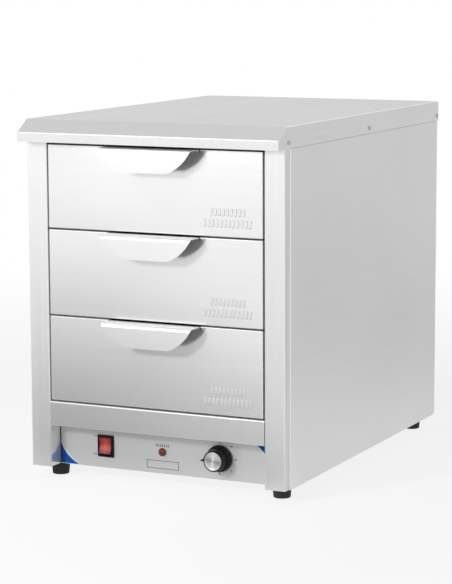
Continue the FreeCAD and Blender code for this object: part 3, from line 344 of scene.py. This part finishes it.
def spun_metal(name, middle):
    """Bright disc turned in a lathe: fine rings and a fan of highlights."""
    material, graph, shader, place = new_material(name)
    parts = graph.parts(graph.vector("SUBTRACT", place, middle))
    flat = graph.node("ShaderNodeCombineXYZ", {"X": parts["X"], "Z": parts["Z"]}).outputs[0]
    ring = graph.math("MULTIPLY", graph.length(flat), RINGS_PER_METRE)
    ring_place = graph.node("ShaderNodeCombineXYZ", {"X": ring}).outputs[0]
    rings = graph.noise(ring_place, scale=1.0, detail=3.0, roughness=0.7)
    dark, light = [grey(tone) for tone in SPUN_TONES]
    graph.feed(shader.inputs["Base Color"], graph.tint(rings, dark, light))
    graph.feed(shader.inputs["Roughness"], graph.remap(rings, NOISE_SPREAD, SPUN_ROUGHNESS))
    shader.inputs["Metallic"].default_value = 1.0
    shader.inputs["Anisotropic"].default_value = 0.97
    graph.feed(shader.inputs["Tangent"], flat)
    graph.feed(shader.inputs["Normal"], graph.bump(rings, depth=0.04 * MM, strength=0.5))
    return material


def mineral_wool():
    """Matted yellowish fibres."""
    material, graph, shader, place = new_material("mineral_wool")
    fibres = graph.noise(graph.stretched(place, (1.0, 1.0, 4.0)), scale=220.0, detail=6.0, roughness=0.75)
    tufts = graph.noise(place, scale=40.0, detail=4.0, roughness=0.6)
    matted = graph.blend(0.5, fibres, tufts)
    graph.feed(shader.inputs["Base Color"], graph.tint(matted, rgb(*WOOL_DARK), rgb(*WOOL_LIGHT)))
    shader.inputs["Roughness"].default_value = 0.95
    shader.inputs["Sheen Weight"].default_value = 0.2
    graph.feed(shader.inputs["Normal"], graph.bump(fibres, depth=1.5 * MM, strength=0.8))
    return material


def stained_metal(name, scale, dark, light, roughness, metallic=1.0):
    """Bare metal with stains that run from one colour to another."""
    material, graph, shader, place = new_material(name)
    stain = graph.noise(place, scale, detail=4.0, roughness=0.6)
    graph.feed(shader.inputs["Base Color"], graph.tint(stain, dark, light))
    graph.feed(shader.inputs["Roughness"], graph.remap(stain, NOISE_SPREAD, roughness))
    shader.inputs["Metallic"].default_value = metallic
    return material


# ---- materials of this object -------------------------------------------------------------------
def front_levels(node):
    """The lower and the upper edge of a drawer front."""
    low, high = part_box(node)
    return low.z, high.z


# the drawer fronts' steel, with painted shade on the back of the handle flaps
STEEL_FRONT = brushed_steel(
    "brushed_front", "across", roughness=0.16, anisotropy=0.5, streaks=0.016, dents=0.06 * MM, dull_tops=0.25,
    painted_back_shade=FLAP_BACK_PAINTED_SHADE, scatter=SATIN_SCATTER,
    crowns=[front_levels(f"{drawer}_drawer_front") for drawer in DRAWERS])
STEEL_SIDE = brushed_steel("brushed_side", "across", streaks=0.016, dents=0.1 * MM)
STEEL_LID = brushed_steel("brushed_lid", "deep")
STEEL_POST = brushed_steel("brushed_post", "upright", roughness=0.34, anisotropy=0.6, bright_sides=0.18,
                           scatter=SATIN_SCATTER)
STEEL_PRESSED = brushed_steel("pressed_marks", "across", tone=0.78, roughness=0.34, anisotropy=0.3,
                              streaks=0.02, dents=0.1 * MM, scatter=SATIN_SCATTER)
STEEL_INNER = rolled_steel("inner_steel", tone=0.50, roughness=0.38)
ZINC = rolled_steel("zinc_plated", tone=0.55, roughness=0.32)
PANEL_FOIL = brushed_steel("panel_foil", "across", tone=0.70, roughness=0.42, anisotropy=0.3, streaks=0.01,
                           dents=0.1 * MM, scatter=SATIN_SCATTER)
RUBBER = moulded("foot_rubber", grey(0.012), grey(0.03), roughness=0.62)
BLACK = moulded("black_moulding", rgb(0.004, 0.004, 0.0045), rgb(0.009, 0.009, 0.010), roughness=0.30,
                grain_scale=700.0, depth=0.02 * MM, specular=0.2)
GREY_MOULDING = moulded("grey_moulding", grey(0.10), grey(0.16), roughness=0.5)
CERAMIC = moulded("glazed_ceramic", rgb(0.70, 0.68, 0.62), rgb(0.80, 0.78, 0.72), roughness=0.25)
WIRE = moulded("wire_insulation", rgb(0.13, 0.05, 0.02), rgb(0.20, 0.08, 0.04), roughness=0.5)
COPPER = stained_metal("copper", 90.0, rgb(0.42, 0.16, 0.08), rgb(0.72, 0.36, 0.22), roughness=(0.25, 0.45))
RED_ROCKER = glowing_plastic("red_rocker", ROCKER_CENTRE, radius=11 * MM, inner=rgb(0.56, 0.075, 0.04),
                             outer=rgb(0.15, 0.009, 0.022), glow=0.12)
# the pilot lamp is off: the lens's faint glow is painted light
PILOT_LENS_PAINTED_GLOW = glowing_plastic("red_lens", LAMP_CENTRE, radius=6 * MM, inner=rgb(0.03, 0.002, 0.004),
                           outer=rgb(0.19, 0.008, 0.014), glow=0.05)
SPUN = spun_metal("spun_cap", KNOB_CENTRE)
WOOL = mineral_wool()
SHEATH = stained_metal("element_sheath", 35.0, rgb(0.12, 0.13, 0.17), rgb(0.30, 0.24, 0.16),
                       roughness=(0.35, 0.55), metallic=0.9)
INK = printed("black_ink", rgb(0.03, 0.03, 0.032))
BLUE_INK = printed("blue_ink", rgb(0.003, 0.070, 0.33), roughness=0.5)
PALE_INK = printed("pale_ink", rgb(0.72, 0.78, 0.86), roughness=0.4)


def dress(nodes, material):
    """Gives nodes a material in place of their own."""
    for node in nodes:
        mesh = NODES[node].data
        mesh.materials.clear()
        mesh.materials.append(material)


def nodes_named(*parts):
    """The nodes whose name has one of these parts."""
    return [node for node in NODES if any(part in node for part in parts)]


dress(nodes_named("_drawer_front") + ["fascia_rail"], STEEL_FRONT)
dress(["side_cover_left", "side_cover_right", "rear_panel"], STEEL_SIDE)
dress(["lid"], STEEL_LID)
dress(["front_post_left", "front_post_right"], STEEL_POST)
dress(["control_panel"], PANEL_FOIL)
dress(nodes_named("_drawer_box", "inner_wall", "inner_back", "inner_roof"), STEEL_INNER)
dress(["top_rail", "base_pan", "chassis_deck", "cavity_floor"], STEEL_INNER)
dress(nodes_named("_slide_", "_screws") + ["foot_studs", "thermostat_shaft", "element_saddles"], ZINC)
dress(["rubber_feet"], RUBBER)
dress(["knob", "switch_housing", "thermostat_body", "cable_gland", "over_temperature_cut_out"], BLACK)
dress(["pilot_lamp_body"], GREY_MOULDING)
dress(["knob_cap"], SPUN)
dress(["switch_rocker"], RED_ROCKER)
dress(["pilot_lamp_lens"], PILOT_LENS_PAINTED_GLOW)
dress(nodes_named("insulation"), WOOL)
dress(["heating_element"], SHEATH)
dress(["thermostat_bulb"], COPPER)
dress(["terminal_block"], CERAMIC)
dress(["wiring"], WIRE)


# ---- making pieces ------------------------------------------------------------------------------
def finished(name, build, material):
    """The object of a mesh under construction."""
    bmesh.ops.recalc_face_normals(build, faces=build.faces)
    mesh = bpy.data.meshes.new(name)
    build.to_mesh(mesh)
    build.free()
    mesh.materials.append(material)
    return add_object(name, mesh)


def keep(piece, body):
    """Lets a piece move with a body."""
    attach(piece, body)


# ---- printed panel ------------------------------------------------------------------------------
# Measures are in millimetres, across from the middle of the panel and up from its lower edge.
INK_THICKNESS = 0.12 * MM
CAPITAL_SHARE = 0.7             # height of a capital beside the size of its font
LETTER_SMOOTHNESS = 3           # points to each curve of a letter's outline
SWITCH_LABELS = (
    # piece, text, distance to the left of the switch, level
    ("label_on", "ON", 4.8, 48.5),
    ("label_off", "OFF", 5.4, 19.5),
)
SWITCH_LABEL_HEIGHT = 2.8
DIAL_NUMBERS = (
    # degrees from the top, text, distance from the knob's middle
    (0, "30", 24.9),
    (45, "45", 27.4),
    (90, "60", 26.5),
    (135, "75", 26.2),
    (180, "90", 24.5),
)
DIAL_NUMBER_HEIGHT = 3.3
DIAL_SPAN = 180                 # degrees from the first number to the last
TICK_STEP = 15
TICK_NEAR = 21.5
TICK_FAR = 22.6
TICK_WIDTH = 0.45
HEAT_SYMBOL_LEVEL = 43.5
WAVES = 7
WAVE_PITCH = 3.5
WAVE_HEIGHT = 3.8
WAVE_SWING = 0.7
WAVE_WIDTH = 1.1
WAVE_STEPS = 10
BLANK_PLATE = (-29.5, 7.5, 24.5, 19.5)    # left, bottom, right, top
BLANK_PLATE_LINE = 0.7
PANEL_HALF = PANEL_HIGH.x / MM
PANEL_TOP = (PANEL_HIGH.z - PANEL_LOW.z) / MM
PRINT_FOOT = 0.8                # a bare strip along the panel's lower edge
# width of the painted shade lines where the panel meets the posts
END_SHADE_WIDTH = 1.0
PATCH_SIZE_LEFT = (34.0, 37.0)
PATCH_SIZE_RIGHT = (52.0, 50.0)
PATCH_CONTROL = (0.20, 0.35)    # how far its curve is drawn in, as shares of its width and height
PATCH_BORDER = 1.3
PATCH_STEPS = 24


def keep_print(piece):
    keep(piece, "cabinet")


def plate_mesh(name, outlines, material, thickness=INK_THICKNESS):
    """Thin plates on the panel's face, each a closed outline of (X, Z) points in metres."""
    build = bmesh.new()
    for outline in outlines:
        front = [build.verts.new((x, PANEL_FACE - thickness, z)) for x, z in outline]
        back = [build.verts.new((x, PANEL_FACE, z)) for x, z in outline]
        build.faces.new(front)
        build.faces.new(back[::-1])
        for index in range(len(outline)):
            following = (index + 1) % len(outline)
            build.faces.new((front[index], back[index], back[following], front[following]))
    return finished(name, build, material)


def on_panel(x, z):
    """A point of the control panel, in metres."""
    return x * MM, PANEL_BASE + z * MM


def bar(x0, z0, x1, z1, width):
    """Outline of a straight printed line between two points."""
    length = math.hypot(x1 - x0, z1 - z0)
    across = Vector((-(z1 - z0), x1 - x0)) / length * width / 2
    corners = [(x0 + across.x, z0 + across.y), (x0 - across.x, z0 - across.y),
               (x1 - across.x, z1 - across.y), (x1 + across.x, z1 + across.y)]
    return [on_panel(x, z) for x, z in corners]


def lettering(name, text, x, z, height):
    """One printed word or number, centred on a point of the panel."""
    curve = bpy.data.curves.new(name, "FONT")
    curve.body = text
    curve.size = height * MM / CAPITAL_SHARE
    curve.extrude = INK_THICKNESS / 2
    curve.align_x = "CENTER"
    curve.align_y = "CENTER"
    curve.resolution_u = LETTER_SMOOTHNESS
    source = add_object(name, curve)
    bpy.context.view_layer.update()
    mesh = bpy.data.meshes.new_from_object(source)
    bpy.data.objects.remove(source)
    mesh.materials.clear()
    mesh.materials.append(INK)
    piece = add_object(name, mesh)
    piece.rotation_euler = (math.pi / 2, 0, 0)
    px, pz = on_panel(x, z)
    piece.location = (px, PANEL_FACE - INK_THICKNESS / 2, pz)
    return piece


def patch_curve(width, height):
    """Hollow curve from the top of the corner down to its tip, as distances from the corner."""
    points = []
    for step in range(PATCH_STEPS + 1):
        t = step / PATCH_STEPS
        across = 2 * t * (1 - t) * PATCH_CONTROL[0] + t * t
        up = (1 - t) ** 2 + 2 * t * (1 - t) * PATCH_CONTROL[1]
        points.append((across * width, up * height))
    return points


def corner_patch(name, corner_x, corner_z, side, rise, size):
    """A plain hollow-sided corner patch with a pale border along its curve.

    side and rise are 1 or -1: the ways in which it reaches from its corner.
    """
    width, height = size
    inner = patch_curve(width - PATCH_BORDER, height - PATCH_BORDER)
    outer = patch_curve(width + PATCH_BORDER, height + PATCH_BORDER)

    def placed(points):
        return [on_panel(corner_x + side * across, corner_z + rise * up) for across, up in points]

    strips = [placed([inner[index], inner[index + 1], outer[index + 1], outer[index]])
              for index in range(PATCH_STEPS)]
    keep_print(plate_mesh(name, [placed([(0, 0)] + inner)], BLUE_INK))
    keep_print(plate_mesh(name + "_border", strips, PALE_INK))


def print_switch_labels():
    for name, text, left, level in SWITCH_LABELS:
        keep_print(lettering(name, text, SWITCH_LEFT / MM - left, level, SWITCH_LABEL_HEIGHT))


def print_dial():
    """Numbers and ticks round the right half of the knob."""
    knob_x, knob_z = KNOB_CENTRE.x / MM, (KNOB_CENTRE.z - PANEL_BASE) / MM

    def around_knob(degrees, radius):
        angle = math.radians(degrees)
        return knob_x + radius * math.sin(angle), knob_z + radius * math.cos(angle)

    for angle, text, radius in DIAL_NUMBERS:
        keep_print(lettering(f"dial_{text}", text, *around_knob(angle, radius), DIAL_NUMBER_HEIGHT))
    ticks = [bar(*around_knob(angle, TICK_NEAR), *around_knob(angle, TICK_FAR), TICK_WIDTH)
             for angle in range(0, DIAL_SPAN + 1, TICK_STEP)]
    keep_print(plate_mesh("dial_ticks", ticks, INK))


def print_heat_symbol():
    """A row of short wavy lines, the common sign for heating."""
    outlines = []
    for wave in range(WAVES):
        middle = LAMP_CENTRE.x / MM + (wave - (WAVES - 1) / 2) * WAVE_PITCH
        points = []
        for step in range(WAVE_STEPS + 1):
            share = step / WAVE_STEPS
            x = middle + WAVE_SWING * math.sin(math.tau * share)
            points.append((x, HEAT_SYMBOL_LEVEL + WAVE_HEIGHT * (share - 0.5)))
        outlines += [bar(*start, *end, WAVE_WIDTH) for start, end in zip(points, points[1:])]
    keep_print(plate_mesh("heat_symbol", outlines, INK))


def print_plate_border():
    """The border of a plate without text."""
    left, bottom, right, top = BLANK_PLATE
    width, half = BLANK_PLATE_LINE, BLANK_PLATE_LINE / 2
    lines = [bar(left - half, z, right + half, z, width) for z in (bottom, top)]
    lines += [bar(x, bottom + half, x, top - half, width) for x in (left, right)]
    keep_print(plate_mesh("blank_plate_border", lines, INK))


def paint_end_shade():
    """Painted shade: dark lines where the panel meets the posts, standing in for the shade in the gaps there.
    """
    middles = [side * (PANEL_HALF - END_SHADE_WIDTH / 2) for side in (-1, 1)]
    shade_lines = [bar(x, PRINT_FOOT, x, PANEL_TOP, END_SHADE_WIDTH) for x in middles]
    keep_print(plate_mesh("panel_end_painted_shade", shade_lines, INK, 2 * INK_THICKNESS))


print_switch_labels()
print_dial()
print_heat_symbol()
print_plate_border()
# dark lines of painted shade where the panel meets the posts
paint_end_shade()
corner_patch("corner_patch_left", -PANEL_HALF, PRINT_FOOT, 1, 1, PATCH_SIZE_LEFT)
corner_patch("corner_patch_right", PANEL_HALF, PANEL_TOP, -1, -1, PATCH_SIZE_RIGHT)


# ---- embossing on the drawer fronts -------------------------------------------------------------
EMBOSS_ROWS = (
    # in millimetres: left end, right end, middle above the front's lower edge, height; number of bars
    (93.0, 152.0, 36.5, 11.5, 9),
    (81.5, 162.5, 20.0, 12.5, 12),
)
BAR_SHARE = 0.72                # width of a bar beside the pitch of its row
BAR_SLOPE = ((0.0, 0.0), (0.3, 0.5), (0.7, 0.85), (1.3, 1.0))    # how far in and how proud, in millimetres
BAR_SIDE_INSET = 0.8            # how far in the sides of a bar go beside its ends
BAR_END_STEPS = 8


def bar_outline(x, z, width, height):
    """Upright bar with round ends, in metres."""
    radius = width / 2
    points = []
    for centre_z, start in ((z + height / 2 - radius, 0), (z - height / 2 + radius, 180)):
        for step in range(BAR_END_STEPS + 1):
            angle = math.radians(start + 180 * step / BAR_END_STEPS)
            points.append((x + radius * math.cos(angle), centre_z + radius * math.sin(angle)))
    return points


def raise_bar(build, x, z, width, height):
    """One low bar pressed out of the sheet, with a sloped edge."""
    rings = []
    for inset, proud in BAR_SLOPE:
        outline = bar_outline(x, z, width - 2 * inset * MM * BAR_SIDE_INSET, height - 2 * inset * MM)
        rings.append([build.verts.new((px, FRONT_PLANE - proud * MM, pz)) for px, pz in outline])
    for lower, upper in zip(rings, rings[1:]):
        for corner in range(len(lower)):
            following = (corner + 1) % len(lower)
            face = build.faces.new((lower[corner], lower[following], upper[following], upper[corner]))
            face.smooth = True
    build.faces.new(rings[-1])
    build.faces.new(rings[0][::-1])


def emboss(drawer):
    """Two rows of plain bars on a drawer's front."""
    build = bmesh.new()
    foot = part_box(f"{drawer}_drawer_front")[0].z
    for left, right, level, height, count in EMBOSS_ROWS:
        pitch = (right - left) / count
        for index in range(count):
            x = left + pitch * (index + 0.5)
            raise_bar(build, x * MM, foot + level * MM, pitch * BAR_SHARE * MM, height * MM)
    bars = finished(f"{drawer}_pressed_bars", build, STEEL_PRESSED)
    keep(bars, f"{drawer}_drawer")


for drawer in DRAWERS:
    emboss(drawer)


# ---- floor --------------------------------------------------------------------------------------
# The camera sees a white floor. The steel mirrors a graded one: dark close in front of the object, which
# gives the fronts their darker lower parts, and lighter with distance and towards the right. Lengths are
# in metres. A turn says how far round towards the rear a place lies: below 0 it is in front of the
# object, at 0 beside its front, and the larger it is, the more it lies behind.
FLOOR_SIZE = 14.0
FLOOR_WHITE = 0.90
FLOOR_GLOW_SPAN = (0.7, 2.2)
FLOOR_GLOW = (0.84, 1.0)            # share of the floor's look that doesn't depend on the lamps
TURN_CENTRE_DEPTH = -0.35           # where the turn is 0
TURN_CENTRE_HALF_WIDTH = 0.2
TURN_LEAST_ACROSS = 0.05            # keeps the turn finite
FRONT_TO_SIDE_TURN = (-1.3, -0.6)
MIRRORED_CLOSE = (0.02, 0.50)       # close in front of the object, and close beside it
FADE_SPAN = (0.6, 3.8)
MIRRORED_FAR = 1.0
RIGHT_LEAN = 0.56                   # how far the lighter part reaches to the left for each metre forward
RIGHT_SPAN = (0.0, 0.45)
RIGHT_GAIN = (0.0, 0.40)
FAR_RIGHT_SPAN = (0.40, 0.70)
FAR_RIGHT_GAIN = (0.0, 0.40)
SIDE_TURN = 0.3                     # the floor straight out to either side is a little darker
SIDE_TURN_SPAN = (0.15, 0.5)
MIRRORED_SIDE = 0.80                # how bright it is there beside the rest, and the world likewise
SIDE_TO_REAR_TURN = (1.1, 1.9)
REAR_SPAN = (1.5, 5.5)
MIRRORED_REAR = (0.60, 0.76)
REAR_CLOSE_SPAN = (0.4, 1.2)
REAR_CLOSE_GAIN = (0.14, 0.0)


def turn_round_object(graph, across, depth):
    """The tangent of the angle from straight out to the side, for each place on the floor."""
    beyond = graph.math("SUBTRACT", graph.math("ABSOLUTE", across), TURN_CENTRE_HALF_WIDTH)
    beyond = graph.math("ADD", graph.math("MAXIMUM", beyond, 0.0), TURN_LEAST_ACROSS)
    return graph.math("DIVIDE", graph.math("SUBTRACT", depth, TURN_CENTRE_DEPTH), beyond)


def mirrored_floor_before(graph, across, depth, away, turn):
    """How bright the steel sees the floor in front of the object and beside it."""
    close = graph.remap(turn, FRONT_TO_SIDE_TURN, MIRRORED_CLOSE)
    level = graph.blend(graph.remap(away, FADE_SPAN, RISE), close, MIRRORED_FAR)
    aside = graph.math("SUBTRACT", across, graph.math("MULTIPLY", depth, RIGHT_LEAN))
    level = graph.math("ADD", level, graph.remap(aside, RIGHT_SPAN, RIGHT_GAIN))
    level = graph.math("ADD", level, graph.remap(aside, FAR_RIGHT_SPAN, FAR_RIGHT_GAIN))
    level = graph.math("MINIMUM", level, 1.0)
    from_side = graph.math("ABSOLUTE", graph.math("SUBTRACT", turn, SIDE_TURN))
    return graph.math("MULTIPLY", level, graph.remap(from_side, SIDE_TURN_SPAN, (MIRRORED_SIDE, 1.0)))


def mirrored_floor_behind(graph, away):
    """How bright the steel sees the floor behind the object."""
    level = graph.remap(away, REAR_SPAN, MIRRORED_REAR)
    return graph.math("ADD", level, graph.remap(away, REAR_CLOSE_SPAN, REAR_CLOSE_GAIN))


def is_mirrored(graph, path):
    """One for what metal and glass show, and zero for what the camera sees or what lights a surface."""
    return graph.math("MAXIMUM", path["Is Glossy Ray"], path["Is Transmission Ray"])


def floor_material():
    material = bpy.data.materials.new("floor")
    material.use_nodes = True
    graph = Graph(material.node_tree)
    graph.tree.nodes.clear()
    output = graph.node("ShaderNodeOutputMaterial")
    path = graph.node("ShaderNodeLightPath").outputs
    mirrored = is_mirrored(graph, path)
    place = graph.node("ShaderNodeTexCoord").outputs["Object"]
    across, depth = graph.parts(place)["X"], graph.parts(place)["Y"]
    away = graph.length(place)
    turn = turn_round_object(graph, across, depth)
    before = mirrored_floor_before(graph, across, depth, away, turn)
    behind = mirrored_floor_behind(graph, away)
    graded = graph.blend(graph.remap(turn, SIDE_TO_REAR_TURN, RISE), before, behind)
    level = graph.blend(mirrored, 1.0, graded)
    glow = graph.node("ShaderNodeEmission", {"Color": grey(1.0), "Strength": level}).outputs[0]
    matt = graph.node("ShaderNodeBsdfDiffuse", {"Color": grey(FLOOR_WHITE)}).outputs[0]
    seen = graph.math("MULTIPLY", path["Is Camera Ray"], graph.remap(away, FLOOR_GLOW_SPAN, FLOOR_GLOW))
    share = graph.math("MAXIMUM", seen, mirrored)
    mixed = graph.node("ShaderNodeMixShader", {0: share, 1: matt, 2: glow}).outputs[0]
    graph.tree.links.new(mixed, output.inputs["Surface"])
    return material


def add_floor():
    mesh = bpy.data.meshes.new("floor")
    half = FLOOR_SIZE / 2
    corners = [(-half, -half, 0), (half, -half, 0), (half, half, 0), (-half, half, 0)]
    mesh.from_pydata(corners, [], [(0, 1, 2, 3)])
    mesh.materials.append(floor_material())
    floor = add_object("floor", mesh)


# ---- world --------------------------------------------------------------------------------------
# The camera sees a white world and the steel mirrors a graded one. Each span is one of the parts of a
# direction whose length is 1.
WORLD_FOR_MATT = 0.25               # light on surfaces that scatter it
WORLD_FRONT = 1.0
WORLD_REAR = 0.65
WORLD_ZENITH = 0.74
FRONT_TO_REAR = (0.6, 0.85)
FRONT_TO_SIDE = (0.85, 0.97)
LEVEL_TO_ZENITH = (0.1, 0.8)
REAR_BAND_LEVEL = (0.2, 0.35)       # above this the rear is as bright as the front
REAR_BAND_DEPTH = (0.8, 0.88)


def mirrored_world(graph):
    """How bright the steel sees the surroundings, by direction."""
    direction = graph.parts(graph.node("ShaderNodeTexCoord").outputs["Generated"])
    sideways = graph.math("ABSOLUTE", direction["X"])
    low = graph.remap(direction["Y"], FRONT_TO_REAR, (WORLD_FRONT, WORLD_REAR))
    low = graph.math("MULTIPLY", low, graph.remap(sideways, FRONT_TO_SIDE, (1.0, MIRRORED_SIDE)))
    sky = graph.blend(graph.remap(direction["Z"], LEVEL_TO_ZENITH, RISE), low, WORLD_ZENITH)
    raised = graph.remap(direction["Z"], REAR_BAND_LEVEL, RISE)
    band = graph.math("MULTIPLY", raised, graph.remap(direction["Y"], REAR_BAND_DEPTH, RISE))
    return graph.blend(band, sky, WORLD_FRONT)


def set_world():
    world = bpy.data.worlds.new("studio")
    bpy.context.scene.world = world
    world.use_nodes = True
    graph = Graph(world.node_tree)
    graph.tree.nodes.clear()
    output = graph.node("ShaderNodeOutputWorld")
    path = graph.node("ShaderNodeLightPath").outputs
    level = graph.blend(is_mirrored(graph, path), WORLD_FOR_MATT, mirrored_world(graph))
    level = graph.blend(path["Is Camera Ray"], level, 1.0)
    background = graph.node("ShaderNodeBackground", {"Color": grey(1.0), "Strength": level}).outputs[0]
    graph.tree.links.new(background, output.inputs["Surface"])


# ---- lamps --------------------------------------------------------------------------------------
LAMP_AIM = (0.0, -0.3, 0.5)         # high on the drawer fronts


def softbox(name, place, width, height, radiance, mirrored=True):
    """A rectangular lamp of even brightness that faces the drawer fronts.

    width and height are in metres, radiance in watts per square metre and steradian, and mirrored says
    whether the steel shows the lamp.
    """
    data = bpy.data.lights.new(name, "AREA")
    data.shape = "RECTANGLE"
    data.size = width
    data.size_y = height
    data.energy = radiance * math.pi * width * height
    lamp = add_object(name, data)
    lamp.location = place
    lamp.rotation_euler = (Vector(LAMP_AIM) - Vector(place)).to_track_quat("-Z", "Y").to_euler()
    lamp.visible_camera = False
    lamp.visible_glossy = mirrored


add_floor()
set_world()
softbox("key_softbox", place=(-0.62, -2.0, 0.95), width=0.8, height=1.0, radiance=1.5)
# the shadow lamp casts the flaps' shadows; mirrored, it would bleach the top front
softbox("shadow_lamp", place=(-0.70, -2.0, 0.98), width=0.25, height=0.25, radiance=122.0, mirrored=False)
softbox("top_softbox", place=(-0.9, -1.5, 2.3), width=1.8, height=1.2, radiance=1.15)

scene = bpy.context.scene
scene.view_settings.view_transform = "Standard"
